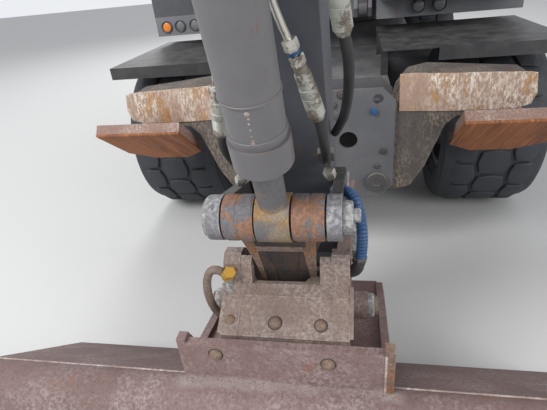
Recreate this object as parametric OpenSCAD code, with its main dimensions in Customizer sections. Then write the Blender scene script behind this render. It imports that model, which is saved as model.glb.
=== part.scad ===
// Wheeled excavator with a two-piece boom, a grading bucket, stabiliser legs and a dozer blade.
// +X points to the bucket, +Y to the cab's side, +Z up. Z = 0 is the ground.
// The model is drawn about the slewing axis and then moved so that X = 0 is its middle.

/* [Wheels and axles] */
// Distance between the two axles
wheelbase = 2800; // [2700:10:2900]
// Outer diameter of a tyre
tyre_d = 1060; // [1030:2:1080]
// Height of a tyre's tread blocks
lug_deep = 16; // [10:1:20]
// Tread blocks round a tyre
lug_count = 18; // [14:1:20]
// Width of a tyre
tyre_w = 580; // [540:2:590]
// Distance between the middles of the left and right tyres
track = 1960; // [1940:2:1990]
// Diameter of the rim's bead seat
rim_d = 571; // [560:1:580]
// Radius of an axle tube
axle_tube_r = 95; // [80:1:105]
// Radius of a wheel spindle
spindle_r = 60; // [50:1:70]
// Radial play of every pin and spindle in its bore
fit_gap = 0.06; // [0.02:0.01:0.1]
// Sideways gap between pieces that turn side by side
side_gap = 5; // [3:0.5:7]

/* [Chassis] */
// Half width of the chassis frame
chassis_half_w = 380; // [340:5:390]
// Height of the chassis frame's flat top
chassis_top = 930; // [900:5:940]
// Half length of the chassis frame
chassis_half_l = 1950; // [1920:5:1980]
// Thickness of the mudguard plates
guard_t = 8; // [5:1:12]
// Gap between a tyre and its mudguard
guard_gap = 30; // [20:1:40]
// Outer radius of the slewing ring
ring_r = 560; // [480:5:580]
// Height of the slewing ring's upper face
ring_top = 1170; // [1160:1:1200]

/* [Stabiliser legs] */
// Distance of the legs' middle beyond the chassis frame's end
leg_reach_x = 250; // [230:5:270]
// Width of a leg along the machine
leg_w = 200; // [160:5:210]
// Distance of a leg's pivot from the machine's middle
leg_pivot_y = 300; // [280:5:310]
// Height of a leg's pivot
leg_pivot_z = 540; // [520:5:560]
// Distance of a pad's pivot from the machine's middle
pad_pivot_y = 890; // [880:5:910]
// Height of a pad's pivot with the leg raised
pad_pivot_z = 930; // [920:5:940]
// Length of a pad's side
pad_side = 450; // [400:10:480]
// Thickness of a pad
pad_t = 60; // [40:2:80]
// Angle at which a raised pad hangs, its front edge up
pad_tilt = 37; // [20:1:42]
// Drop of a pad's tilt pin below its yoke's pin
yoke_drop = 105; // [104:1:112]

/* [Dozer blade] */
// Width of the blade
blade_w = 2500; // [2300:10:2540]
// Height of the blade
blade_h = 560; // [480:10:600]
// Height of the raised blade's edge over the ground
blade_raised_z = 330; // [300:5:360]

/* [Upper structure] */
// Width of the upper structure
upper_w = 2480; // [2400:10:2500]
// Radius swung by the counterweight
tail_r = 2150; // [2050:10:2200]
// Thickness of the revolving deck
deck_t = 130; // [110:5:150]
// Height of the housing's top
hood_z = 2150; // [2050:10:2250]
// Thickness of doors and walls of the housing
skin_t = 40; // [30:1:50]

/* [Cab] */
// Distance of the cab's inner wall from the machine's middle
cab_inner_y = 345; // [340:1:360]
// Place of the cab's rear wall
cab_rear_x = -230; // [-260:5:-200]
// Length of the cab at its floor
cab_l = 1660; // [1600:10:1700]
// Height of the cab's roof
cab_roof_z = 3080; // [3000:10:3150]
// Thickness of the cab's walls and posts
cab_t = 50; // [40:1:60]
// Thickness of the glass
glass_t = 8; // [5:1:10]

/* [Arm pins] */
// Boom foot pin, along the machine
boom_foot_x = 300; // [290:5:310]
// Boom foot pin, height
boom_foot_z = 1800; // [1780:5:1820]
// Length of the boom base between its pins
base_l = 2250; // [2230:5:2270]
// Length of the upper boom between its pins
upper_l = 1950; // [1940:5:1970]
// Length of the stick between its pins
stick_l = 2400; // [2390:5:2420]
// Bucket pin at the stick's tip, along the machine
tip_x = 2890; // [2880:5:2900]
// Bucket pin at the stick's tip, height
tip_z = 530; // [525:5:540]
// Lean of the stick from upright
stick_lean = 21; // [20:0.5:22]
// Slope of the coupler's pin line
coupler_slope = 9.8; // [8:0.1:11]
// Distance between the coupler's pins
coupler_l = 446.5; // [440:0.5:452]
// Depth of the coupler below its pin line
coupler_depth = 110; // [106:1:120]

/* [Arm sections] */
// Width of the boom base's box
base_w = 300; // [280:5:310]
// Width of the stick's box
stick_w = 250; // [240:2:256]
// Radius of the arm's large pins
pin_r = 42; // [36:1:46]
// Radius of the linkage pins
link_pin_r = 34; // [30:1:36]
// Outer radius of the bucket cylinder's tube
bucket_ram_r = 61; // [58:1:64]

/* [Bucket] */
// Width of the grading bucket
bucket_w = 2000; // [1700:10:2100]
// Thickness of the bucket's plates
bucket_t = 16; // [12:1:20]
// Slope of the bucket's top plate
plate_slope = 41; // [40:0.5:42]
// Slope of the bucket's floor plate
floor_slope = 72; // [70:0.5:74]
// Outer radius of the bucket's heel
heel_r = 80; // [70:1:90]
// Length of the top plate
top_plate_l = 500; // [480:5:510]
// Length of the floor plate
floor_plate_l = 442; // [430:1:444]

/* [Hidden] */
$fn = 48;

steel_grey = [0.30, 0.33, 0.36];
dark_grey = [0.16, 0.17, 0.18];
body_yellow = [0.85, 0.62, 0.12];
rust_brown = [0.42, 0.27, 0.20];
worn_tan = [0.62, 0.48, 0.36];
tyre_black = [0.06, 0.06, 0.06];
bright_steel = [0.75, 0.75, 0.76];
glass_tint = [0.5, 0.6, 0.62, 0.4];

axle_x = wheelbase / 2;
axle_z = tyre_d / 2;
wheel_y = track / 2;
tyre_out_y = wheel_y + tyre_w / 2;
deck_z = ring_top;
deck_top = deck_z + deck_t;
upper_half = upper_w / 2;
leg_x = chassis_half_l + leg_reach_x;
leg_front_x = leg_x + leg_w / 2;
leg_back_x = leg_x - leg_w / 2;

// Points of the arm in the X-Z plane
function polar(len, ang) = len * [cos(ang), sin(ang)];
function span(p, q) = norm(q - p);
function slope(p, q) = atan2(q[1] - p[1], q[0] - p[0]);
function circles_meet(p, rp, q, rq) =
    let (d = span(p, q), a = (rp * rp - rq * rq + d * d) / (2 * d), h = sqrt(rp * rp - a * a), s = slope(p, q))
    p + polar(a, s) + polar(h, s + 90);
function local_to(p, ang, l) = p + polar(l[0], ang) + polar(l[1], ang + 90);

F = [boom_foot_x, boom_foot_z];
S = [tip_x, tip_z];
stick_ang = 90 - stick_lean;
T = S + polar(stick_l, stick_ang);
M = circles_meet(F, base_l, T, upper_l);
base_ang = slope(F, M);
upper_ang = slope(M, T);

// Lugs: each is given along and across its own member
boom_ram_base = [1000, 1240];
boom_ram_lug = local_to(F, base_ang, [1250, -80]);
adjust_base = local_to(F, base_ang, [560, 300]);
adjust_lug = local_to(M, upper_ang, [-110, 330]);
stick_ram_base = local_to(M, upper_ang, [260, 320]);
stick_lever = local_to(S, stick_ang, [stick_l + 430, -60]);
stick_nose = [stick_l + 450, -135];
bucket_ram_base = local_to(S, stick_ang, [stick_l - 330, -285]);
Q = local_to(S, stick_ang, [380, -20]);
R = local_to(S, stick_ang, [643, -364]);
L = S + polar(coupler_l, coupler_slope);

boom_ram_y = 245;
boom_ram_r = 62;
big_ram_r = 75;
leg_ram_r = 42;
blade_ram_r = 45;
gland_len = 70;
eye_w = 60;
link_slab_in = stick_w / 2 + side_gap;
link_slab_out = link_slab_in + 35;
coupler_out = link_slab_in + 50;

front_x = local_to(S, stick_ang, stick_nose)[0];
blade_end_x = -chassis_half_l;
blade_face_x = blade_end_x - 410;
origin_x = (front_x + blade_face_x) / 2;

// Placing
module at_origin() {
    translate([-origin_x, 0, 0]) children();
}
module along(p, q) {
    translate([p[0], 0, p[1]]) rotate([0, -slope(p, q), 0]) children();
}
module slab(points, w, y = 0) {
    translate([0, y + w / 2, 0]) rotate([90, 0, 0]) linear_extrude(w) polygon(points);
}
module pin_y(p, r, w, y = 0) {
    translate([p[0], y + w / 2, p[1]]) rotate([90, 0, 0]) cylinder(r = r, h = w);
}
module pin_x(p, r, w, x = 0) {
    translate([x - w / 2, p[0], p[1]]) rotate([0, 90, 0]) cylinder(r = r, h = w);
}
module mirrored() {
    children();
    mirror([0, 1, 0]) children();
}
module side_of(s) {
    if (s > 0) children();
    else mirror([0, 1, 0]) children();
}

// Hydraulic cylinders, drawn along +X from the barrel's pin at the origin
module ram_barrel(r, rod_r, len, ew, pr, neck) {
    er = pr + 26;
    difference() {
        union() {
            pin_y([0, 0], er, ew);
            slab([[0, -er * 0.8], [neck + 5, -er * 0.8], [neck + 5, er * 0.8], [0, er * 0.8]], ew);
            translate([neck, 0, 0]) rotate([0, 90, 0]) cylinder(r = r, h = len - neck);
            translate([len - gland_len, 0, 0]) rotate([0, 90, 0]) cylinder(r = r + 7, h = gland_len);
            translate([len * 0.55, 0, 0]) rotate([0, 90, 0]) cylinder(r = r + 4, h = 30);
            translate([neck, 0, 0]) rotate([0, 90, 0]) cylinder(r = r + 4, h = 26);
        }
        translate([neck + 30, 0, 0]) rotate([0, 90, 0]) cylinder(r = rod_r + 0.4, h = len);
        pin_y([0, 0], pr + fit_gap, ew + 2);
    }
}
module ram_rod(rod_r, eye_at, rod_start, eye_r, ew, pr, neck) {
    translate([rod_start, 0, 0]) rotate([0, 90, 0]) cylinder(r = rod_r, h = eye_at - neck - rod_start);
    slab([[eye_at - neck - 5, -eye_r * 0.7], [eye_at, -eye_r * 0.7], [eye_at, eye_r * 0.7],
        [eye_at - neck - 5, eye_r * 0.7]], ew - 2);
    pin_y([eye_at, 0], eye_r, ew);
    pin_y([eye_at, 0], pr, ew + 4);
}

// Undercarriage
module chassis_profile() {
    b = 600;
    arch = axle_z + axle_tube_r + 90;
    polygon([[-chassis_half_l, 660], [-axle_x - 320, 640], [-axle_x - 240, arch], [-axle_x + 240, arch],
        [-axle_x + 340, b], [axle_x - 340, b], [axle_x - 240, arch], [axle_x + 240, arch],
        [axle_x + 320, 640], [chassis_half_l, 640], [chassis_half_l, chassis_top],
        [-chassis_half_l, chassis_top]]);
}
leg_box_t = 20;
leg_box_half = chassis_half_w;
leg_box_bottom = leg_pivot_z - 90;
leg_box_top = 1010;
lashing_y = 300;
lashing_z = 960;
lashing_r = 25;
module chassis_frame() {
    color(steel_grey) difference() {
        union() {
            translate([0, chassis_half_w, 0]) rotate([90, 0, 0]) linear_extrude(chassis_half_w * 2) chassis_profile();
            translate([0, 0, chassis_top - 40]) cylinder(r1 = 700, r2 = ring_r + 40, h = 1085 - chassis_top + 40, $fn = 72);
            for (x = [leg_back_x - leg_box_t - side_gap, leg_front_x + side_gap])
                translate([x, 0, 0]) leg_box_plate();
            translate([chassis_half_l - 5, -90, 600]) cube([leg_front_x - chassis_half_l + side_gap + 10, 180, 40]);
            translate([leg_back_x - side_gap - 5, -60, 960]) cube([leg_w + 2 * side_gap + 10, 120, 30]);
            mirrored() pin_x([leg_pivot_y, leg_pivot_z], 40, leg_w + 2 * side_gap + 2 * leg_box_t + 20, leg_x);
            for (s = [-1, 1]) pin_x([-s * leg_ram_reach, leg_top_pin[1]], 25, leg_w / 2 + side_gap + 6,
                leg_x + s * (leg_w / 4 + side_gap / 2 + 7));
            mirrored() blade_arm_lugs();
        }
        translate([0, 0, 500]) cylinder(r = 300, h = 700, $fn = 72);
        mirrored() translate([leg_front_x, 160, 760]) rotate([0, 90, 0]) cylinder(r = 45, h = 60);
        mirrored() pin_x([lashing_y, lashing_z], lashing_r, 3 * leg_box_t, leg_front_x + side_gap + leg_box_t / 2);
    }
}
module leg_box_plate() {
    half = leg_box_half;
    translate([0, 0, 0]) rotate([90, 0, 90]) linear_extrude(leg_box_t)
        polygon([[-half, leg_box_bottom + 60], [-half + 60, leg_box_bottom], [half - 60, leg_box_bottom],
            [half, leg_box_bottom + 60], [half, leg_box_top - 60], [half - 60, leg_box_top],
            [-half + 60, leg_box_top], [-half, leg_box_top - 60]]);
}
blade_pivot = [blade_end_x + 300, 600];
blade_lift_base = [blade_end_x - 50, 1010];
blade_lift_lug = [blade_end_x - 220, 500];
module blade_arm_lugs() {
    for (y = [255, 345]) slab([[blade_end_x + 190, 700], [blade_end_x + 410, 700], [blade_end_x + 370, 540], [blade_end_x + 230, 540]], 30, y);
    pin_y(blade_pivot, 30, 120, 300);
    for (y = [95.5, 184.5]) slab([[blade_end_x + 170, 925], [blade_end_x - 2, 925], [blade_end_x - 50, 966], [blade_end_x - 90, 1000], [blade_end_x - 80, 1040], [blade_end_x - 50, 1052],
        [blade_end_x + 90, 1040]], 25, y);
    pin_y(blade_lift_base, 24, 115, 140);
}
module slew_ring_lower() {
    color(dark_grey) difference() {
        translate([0, 0, 1085]) cylinder(r = ring_r, h = 40, $fn = 96);
        translate([0, 0, 1080]) cylinder(r = ring_r - 130, h = 60, $fn = 96);
    }
}
module slew_ring_upper() {
    color(dark_grey) difference() {
        translate([0, 0, 1125.3]) cylinder(r = ring_r, h = ring_top - 1125.3, $fn = 96);
        translate([0, 0, 1120]) cylinder(r = ring_r - 130, h = 80, $fn = 96);
    }
}
module axle_beam(end_y) {
    rotate([90, 0, 0]) translate([0, 0, -end_y]) cylinder(r = axle_tube_r, h = 2 * end_y);
    scale(1) sphere(r = 175);
    mirrored() translate([-110, 230, 0]) cube([220, 120, axle_tube_r + 89.7]);
}
module rear_axle() {
    color(dark_grey) translate([axle_x, 0, axle_z]) {
        axle_beam(640);
        mirrored() pin_y([0, 0], spindle_r, 160, 719);
        mirrored() pin_y([0, 0], 150, 30, 625);
    }
}
kingpin_y = wheel_y - 150;
kingpin_r = 35;
module steer_axle() {
    color(dark_grey) translate([-axle_x, 0, axle_z]) {
        difference() {
            union() {
                axle_beam(kingpin_y - 40);
                mirrored() translate([0, kingpin_y, -110]) cylinder(r = 72, h = 220);
            }
            mirrored() translate([0, kingpin_y, -120]) cylinder(r = kingpin_r + fit_gap, h = 240);
        }
        translate([150, 0, 90]) rotate([90, 0, 0]) translate([0, 0, -260]) cylinder(r = 42, h = 520);
        translate([90, -200, 40]) cube([60, 400, 80]);
    }
}
module knuckle(s) {
    color(dark_grey) side_of(s) translate([-axle_x, kingpin_y, axle_z]) {
        translate([0, 0, -150]) cylinder(r = kingpin_r, h = 300);
        for (z = [-150, 115]) translate([0, 0, z]) {
            cylinder(r = 75, h = 35);
            translate([0, -75, 0]) cube([110, 150, 35]);
            translate([-75, 0, 0]) cube([150, 110, 35]);
        }
        translate([-75, 85, -150]) cube([150, 30, 300]);
        rotate([90, 0, 0]) translate([0, 0, -240]) cylinder(r = spindle_r - 10, h = 130);
    }
}
module tyre_section() {
    rr = tyre_d / 2 - lug_deep;
    h = tyre_w / 2;
    br = rim_d / 2 + 14.3;
    polygon([[br, -h + 86], [br + 19, -h + 86], [br + 60, -h + 26], [br + 130, -h], [rr - 55, -h + 8],
        [rr - 15, -h + 30], [rr, -h + 70], [rr, h - 70], [rr - 15, h - 30], [rr - 55, h - 8], [br + 130, h],
        [br + 60, h - 26], [br + 19, h - 86], [br, h - 86]]);
}
module tyre_at(x, s) {
    color(tyre_black) translate([x, s * wheel_y, axle_z]) rotate([90, 0, 0])
{
            rotate_extrude($fn = 60) tyre_section();
            for (i = [0 : lug_count - 1]) rotate(i * 360 / lug_count) {
                translate([tyre_d / 2 - lug_deep - 8, -44, -60]) cube([lug_deep + 6, 88, 120]);
                rotate(180 / lug_count) for (z = [-tyre_w / 2 + 75, tyre_w / 2 - 185])
                    translate([tyre_d / 2 - lug_deep - 8, -44, z]) cube([lug_deep + 6, 88, 110]);
            }
        }
}
module rim_section() {
    b = rim_d / 2;
    h = tyre_w / 2 - 80;
    polygon([[b - 16, -h - 22], [b + 26, -h - 22], [b + 26, -h - 4], [b + 14, -h], [b + 14, h], [b + 26, h + 4],
        [b + 26, h + 22], [b - 16, h + 22], [b - 16, h], [b - 30, 80], [b - 30, 60], [150, 60], [150, 36],
        [b - 30, 36], [b - 16, 0]]);
}
module rim(hub_in, bore_r, bore_in, bore_out) {
    difference() {
        union() {
            rotate_extrude($fn = 60) rim_section();
            translate([0, 0, -hub_in]) cylinder(r = 158, h = hub_in + 150);
            translate([0, 0, 150]) cylinder(r1 = 158, r2 = 110, h = 60);
            for (a = [0 : 36 : 324]) rotate(a) translate([200, 0, 55]) cylinder(r = 14, h = 28);
        }
        translate([0, 0, -bore_in - 200]) cylinder(r = bore_r, h = bore_in + 200 + bore_out);
        for (a = [18 : 36 : 342]) rotate(a) translate([215, 0, 20]) cylinder(r = 20, h = 60);
    }
}
module rim_at(x, s, hub_in, bore_r, bore_in, bore_out) {
    color(steel_grey) translate([x, s * wheel_y, axle_z]) rotate([s > 0 ? -90 : 90, 0, 0])
        rim(hub_in, bore_r, bore_in, bore_out);
}
module rear_rim(s) {
    rim_at(axle_x, s, wheel_y - 655 - side_gap + 10, spindle_r + fit_gap, 330, -175);
}
module steer_rim(s) {
    rim_at(-axle_x, s, wheel_y - kingpin_y - 115 - side_gap, spindle_r - 10 + fit_gap, 40, 95);
}
module driveline() {
    color(dark_grey) {
        translate([-190, -170, 420]) cube([380, 340, 179.7]);
        for (s = [-1, 1]) translate([s > 0 ? 190 : -axle_x + 175.3, 0, axle_z]) rotate([0, 90, 0])
            cylinder(r = 38, h = axle_x - 175.3 - 190);
    }
}
guard_z = tyre_d + guard_gap;
module mudguards() {
    color(dark_grey) for (x = [-axle_x, axle_x]) mirrored() translate([x, 0, 0]) {
        translate([-480, chassis_half_w - 40, guard_z]) cube([960, tyre_out_y - chassis_half_w + 40, guard_t]);
        for (dx = [-330, 300]) translate([dx, chassis_half_w - 40, chassis_top + 0.3])
            cube([30, 40, guard_z - chassis_top]);
        for (s = [-1, 1]) translate([s > 0 ? 480 : -480 - guard_t, tyre_out_y - 640, guard_z - 60])
            cube([guard_t, 640, 60 + guard_t]);
    }
}
module steps() {
    color(dark_grey) mirrored() {
        translate([-620, chassis_half_w + 0.3, 500]) cube([1360, 620, 330]);
        translate([-560, 1000, 560]) cube([560, 200, 25]);
        translate([60, 1000, 560]) cube([620, 200, 25]);
        for (x = [-560, -20, 60, 660]) translate([x, 1000, 500]) cube([20, 200, 330]);
        translate([-560, 1000, 805]) cube([560, 200, 25]);
        translate([60, 1000, 805]) cube([620, 200, 25]);
    }
}

// Stabiliser legs, drawn on the left side
leg_top_pin = [430, 900];
module leg(s) {
    color(worn_tan) side_of(s) difference() {
        union() {
            for (x = [leg_back_x, leg_front_x - 25]) translate([x, 0, 0]) rotate([90, 0, 90])
                linear_extrude(25) leg_outline();
            translate([leg_back_x, 0, 0]) rotate([90, 0, 90]) linear_extrude(leg_w) leg_skin();
            pin_x([leg_pivot_y, leg_pivot_z], 85, leg_w, leg_x);
            for (x = [leg_back_x + 12, leg_front_x - 12]) pin_x(leg_top_pin, 22, 28, x);
            pin_x([pad_pivot_y, pad_pivot_z], 24, leg_w, leg_x);
        }
        pin_x([leg_pivot_y, leg_pivot_z], 40 + fit_gap, leg_w + 10, leg_x);
    }
}
module leg_outline() {
    polygon([[240, 500], [330, 460], [470, 500], [530, 600], [575, 720], [610, 815], [655, 858], [770, 868], [880, 872],
        [955, 900], [975, 950], [950, 1030], [540, 1068], [450, 1050], [395, 980], [300, 640], [230, 600]]);
}
module leg_skin() {
    polygon([[420, 1015], [436, 1008], [466, 1030], [540, 1044], [945, 1006], [950, 1030], [540, 1068], [450, 1050]]);
    polygon([[470, 500], [530, 600], [575, 720], [610, 815], [655, 858], [770, 868], [768, 888], [645, 880],
        [592, 826], [556, 730], [512, 612], [452, 512]]);
}
module yoke(s) {
    color(rust_brown) side_of(s) difference() {
        union() {
            pin_x([pad_pivot_y, pad_pivot_z], 45, leg_w - 60, leg_x);
            translate([leg_x - 60, pad_pivot_y - 40, pad_pivot_z - yoke_drop]) cube([120, 80, yoke_drop]);
            pin_y([leg_x, pad_pivot_z - yoke_drop], 22, 190, pad_pivot_y);
            pin_y([leg_x, pad_pivot_z - yoke_drop], 45, 80, pad_pivot_y);
        }
        pin_x([pad_pivot_y, pad_pivot_z], 24 + fit_gap, leg_w, leg_x);
    }
}
module pad(s) {
    h = pad_side / 2;
    z0 = 95;
    color(rust_brown) side_of(s) translate([leg_x, pad_pivot_y, pad_pivot_z - yoke_drop]) rotate([0, -pad_tilt, 0]) difference() {
        union() {
            translate([0, 0, -z0 - pad_t + 40]) linear_extrude(pad_t)
                polygon([[h, -h], [h, h], [-h + 120, h], [-h, h - 120], [-h, -h + 120], [-h + 120, -h]]);
            mirrored() slab([[-60, -60], [60, -60], [40, 30], [-40, 30]], 25, 40 + side_gap + 12.5);
        }
        pin_y([0, 0], 22 + fit_gap, 300);
    }
}
leg_ram_x = 38;
leg_ram_reach = 120;
module leg_ram_place(s) {
    side_of(s) translate([leg_x + s * leg_ram_x, -leg_ram_reach, leg_top_pin[1]]) rotate([0, 0, 90])
        children();
}
module leg_barrel(s) {
    color(steel_grey) leg_ram_place(s) ram_barrel(leg_ram_r - 10, 18, 430, 50, 25, 60);
}
module leg_rod(s) {
    color(bright_steel) leg_ram_place(s) ram_rod(18, leg_top_pin[0] + leg_ram_reach, 130, 36, 50, 22, 50);
}

// Dozer blade
module blade() {
    zb = blade_raised_z;
    color(steel_grey) {
        slab([[blade_end_x - 380, zb + blade_h], [blade_end_x - 340, zb + blade_h], [blade_end_x - 295, zb + 420], [blade_end_x - 285, zb + 250], [blade_end_x - 310, zb + 90],
            [blade_end_x - 380, zb], [blade_end_x - 410, zb], [blade_end_x - 340, zb + 110], [blade_end_x - 320, zb + 250], [blade_end_x - 332, zb + 420]], blade_w);
        mirrored() difference() {
            union() {
                slab([[blade_end_x - 312, zb + 60], [blade_end_x - 280, zb + 330], [blade_end_x - 170, zb + 300], [blade_end_x + 50, 640], [blade_end_x + 300, 640], [blade_end_x + 340, 600],
                    [blade_end_x + 300, 555], [blade_end_x + 50, 540], [blade_end_x - 170, zb + 60]], 55, 300);
                pin_y(blade_pivot, 52, 55, 300);
            }
            pin_y(blade_pivot, 30 + fit_gap, 80, 300);
        }
        mirrored() for (y = [98, 182])
            slab([[blade_end_x - 312, zb + 60], [blade_end_x - 286, zb + 260], [blade_end_x - 200, 545], [blade_end_x - 175, 500], [blade_end_x - 200, 455]], 22, y);
        mirrored() for (y = [98, 182]) pin_y(blade_lift_lug, 20, 25, y);
        slab([[blade_end_x - 312, zb + 60], [blade_end_x - 290, zb + 200], [blade_end_x - 220, zb + 80]], 650);
        mirrored() for (y = [620, 900, 1150]) slab([[blade_end_x - 318, zb + 70], [blade_end_x - 255, zb + 150],
            [blade_end_x - 255, zb + 400], [blade_end_x - 318, zb + 470], [blade_end_x - 300, zb + 250]], 22, y);
        mirrored() slab([[blade_end_x - 412, zb + 6], [blade_end_x - 300, zb + 40], [blade_end_x - 262, zb + 250],
            [blade_end_x - 300, zb + blade_h - 20], [blade_end_x - 384, zb + blade_h - 4], [blade_end_x - 350, zb + 420]],
            24, blade_w / 2 - 14);
    }
}
module blade_barrels() {
    color(steel_grey) mirrored() translate([0, 140, 0]) along(blade_lift_base, blade_lift_lug)
        ram_barrel(blade_ram_r, 26, span(blade_lift_base, blade_lift_lug) - 80, 54, 24, 75);
}
module blade_rods() {
    len = span(blade_lift_base, blade_lift_lug);
    color(bright_steel) mirrored() translate([0, 140, 0]) along(blade_lift_base, blade_lift_lug)
        ram_rod(26, len, 200, 40, 54, 20, 55);
}

// Upper structure
module deck() {
    bracket_y = base_w / 2 + side_gap;
    color(steel_grey) {
        difference() {
            union() {
                intersection() {
                    translate([0, 0, deck_z + 0.3]) cylinder(r = tail_r, h = deck_t - 0.3, $fn = 120);
                    translate([-1480, -upper_half, 0]) cube([2630, upper_w, 3000]);
                }
                mirrored() translate([620, 70, deck_z]) cube([480, 150, deck_t]);
            }
            translate([0, 0, deck_z - 10]) cylinder(r = 300, h = deck_t + 20, $fn = 72);
            translate([900, -335, deck_z - 10]) cube([400, 670, deck_t + 20]);
        }
        mirrored() {
            slab([[-60, deck_top], [760, deck_top], [640, 1560], [400, 1900], [340, 1930], [230, 1930], [150, 1850]],
                40, bracket_y + 20);
            for (y = [boom_ram_y - eye_w / 2 - side_gap - 12.5, boom_ram_y + eye_w / 2 + side_gap + 12.5])
                slab([[880, deck_z + 20], [900, deck_top], [960, 1310], [1040, 1310], [1075, 1240], [1040, 1180],
                    [960, 1175]], 25, y);
            pin_y(boom_ram_base, pin_r - 6, eye_w + 2 * side_gap + 50, boom_ram_y);
        }
        pin_y(F, pin_r + 8, base_w + 2 * side_gap + 80);
        for (y = [600, 730]) pin_x([y, deck_z + 66], 42, 34, 1165);
    }
}
module counterweight() {
    z0 = deck_z;
    z1 = hood_z + 20;
    color(dark_grey) intersection() {
        rotate_extrude($fn = 120)
            polygon([[900, z0], [tail_r - 60, z0], [tail_r, z0 + 60], [tail_r, z0 + 330], [tail_r - 22, z0 + 342], [tail_r - 22, z0 + 362],
                [tail_r, z0 + 374], [tail_r, z1 - 160], [tail_r - 60, z1 - 40],
                [tail_r - 160, z1], [900, z1]]);
        translate([-2400, -upper_half, z0]) cube([2400 - 1480.3, upper_w, 1000]);
    }
}
module housing() {
    z0 = deck_top + 0.3;
    color(body_yellow) {
        translate([-290, -upper_half, z0]) cube([skin_t, upper_w, hood_z - z0 - 40]);
        translate([-1480, -upper_half, z0]) cube([skin_t, upper_w, hood_z - z0 - 40]);
        mirrored() translate([-1440, upper_half - 120, hood_z - 110]) cube([1150, 60, 70]);
        mirrored() translate([-1440, upper_half - 90, z0]) cube([1150, 50, 60]);
    }
}
module hood() {
    color(body_yellow) {
        translate([-1475, -upper_half, hood_z - 39.7]) cube([1220, upper_w, 60]);
        for (y = [-900, 0, 900]) pin_y([-255, hood_z + 21], 14, 90, y);
        for (i = [0 : 9]) translate([-1200 + i * 60, -300, hood_z + 18]) cube([24, 700, 12]);
        translate([-1150, -820, hood_z + 15]) cylinder(r = 62, h = 210);
        translate([-1150, -820, hood_z + 200]) cylinder(r = 48, h = 120);
    }
}
module side_door(s) {
    z0 = deck_top + 5;
    color(body_yellow) side_of(s) difference() {
        translate([-1440, upper_half - skin_t, z0]) cube([1145, skin_t, hood_z - z0 - 45]);
        for (i = [0 : 7]) translate([-1300, upper_half - 12, z0 + 250 + i * 50]) cube([420, 20, 22]);
    }
    color(body_yellow) side_of(s) for (z = [z0 + 120, hood_z - 220]) {
        translate([-293, upper_half + 5, z]) cylinder(r = 4.7, h = 90);
        translate([-345, upper_half - 2, z + 15]) cube([50, 7, 60]);
    }
}
module engine() {
    color(dark_grey) {
        translate([-1250, -600, deck_top + 0.3]) cube([750, 1200, 620]);
        translate([-1180, -420, deck_top + 610]) cube([300, 840, 90]);
        pin_y([-700, deck_top + 690], 80, 520);
        for (i = [0 : 3]) translate([-1020, -330 + i * 220, deck_top + 690]) cylinder(r = 40, h = 40);
    }
}
module tank_box() {
    color(dark_grey) {
        difference() {
            translate([-240, -upper_half, deck_top + 0.3]) cube([1390, upper_half - 420, 560]);
            translate([1120, -upper_half - 10, deck_top + 300]) rotate([0, 30, 0]) cube([200, 2000, 600]);
        }
        translate([-240, -upper_half + 60, deck_top + 560]) cube([900, 700, 180]);
        for (x = [-150, 250, 640]) translate([x, -upper_half + 30, deck_top + 550]) cylinder(r = 17, h = 470);
        translate([-150, -upper_half + 30, deck_top + 1000]) rotate([0, 90, 0]) cylinder(r = 14, h = 790);
        translate([900, -upper_half + 60, deck_top + 540]) cylinder(r = 14, h = 600);
        translate([890, -upper_half + 20, deck_top + 840]) cube([28, 190, 330]);
        translate([400, -800, deck_top + 735]) cylinder(r = 55, h = 45);
        for (i = [0 : 2]) pin_x([-720 - i * 85, deck_top + 70], 28, 26, 1160);
        for (i = [0 : 5]) translate([-100 + i * 60, -upper_half - 8, deck_top + 200]) cube([26, 12, 260]);
    }
}

// Cab
cab_w = upper_half - cab_inner_y;
cab_mid_y = cab_inner_y + cab_w / 2;
cab_front_x = cab_rear_x + cab_l;
cab_floor = deck_top + 0.3;
function cab_outline(i) = [[cab_rear_x + i, cab_floor + i], [cab_front_x - 30 - i, cab_floor + i],
    [cab_front_x - i, cab_floor + 120], [cab_front_x - i, 1750], [cab_front_x - 110 - i, cab_roof_z - 120],
    [cab_front_x - 190 - i, cab_roof_z - i], [cab_rear_x + 100 + i, cab_roof_z - i], [cab_rear_x + i, cab_roof_z - 120]];
door_rear_x = 200;
door_front_x = cab_front_x - 140;
module cab_frame() {
    color(dark_grey) difference() {
        slab(cab_outline(0), cab_w, cab_mid_y);
        slab(cab_outline(cab_t), cab_w - 2 * cab_t, cab_mid_y);
        translate([cab_front_x - 300, cab_inner_y + cab_t + 20, 1800]) cube([400, cab_w - 2 * cab_t - 40, 1060]);
        translate([cab_rear_x - 50, cab_inner_y + cab_t + 20, 2000]) cube([200, cab_w - 2 * cab_t - 40, 850]);
        translate([cab_rear_x + 160, cab_inner_y - 50, 1850]) cube([1100, 150, 1010]);
        translate([cab_rear_x + 120, upper_half - 100, 2000]) cube([250, 150, 860]);
        door_cut(0);
    }
    color(dark_grey) {
        for (y = [cab_inner_y + 4, upper_half - 114])
            translate([cab_front_x - 118, y, cab_roof_z - 205]) cube([70, 110, 84]);
        translate([cab_front_x - 62, upper_half - 36, 2300]) rotate([0, 90, 0]) cylinder(r = 11, h = 150);
        translate([cab_front_x + 76, upper_half - 112, 2170]) cube([24, 130, 260]);
        for (z = [1385, 1690]) translate([cab_front_x - 6, upper_half - 60, z]) cube([42, 22, 22]);
        translate([cab_front_x + 36, upper_half - 49, 1370]) cylinder(r = 12, h = 360);
    }
    color(dark_grey) for (z = hinge_z) {
        hinge_leaf(door_rear_x - 50, door_rear_x, z - 30.3, 30);
        hinge_leaf(door_rear_x - 50, door_rear_x, z + 60.3, 30);
    }
}
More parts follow.
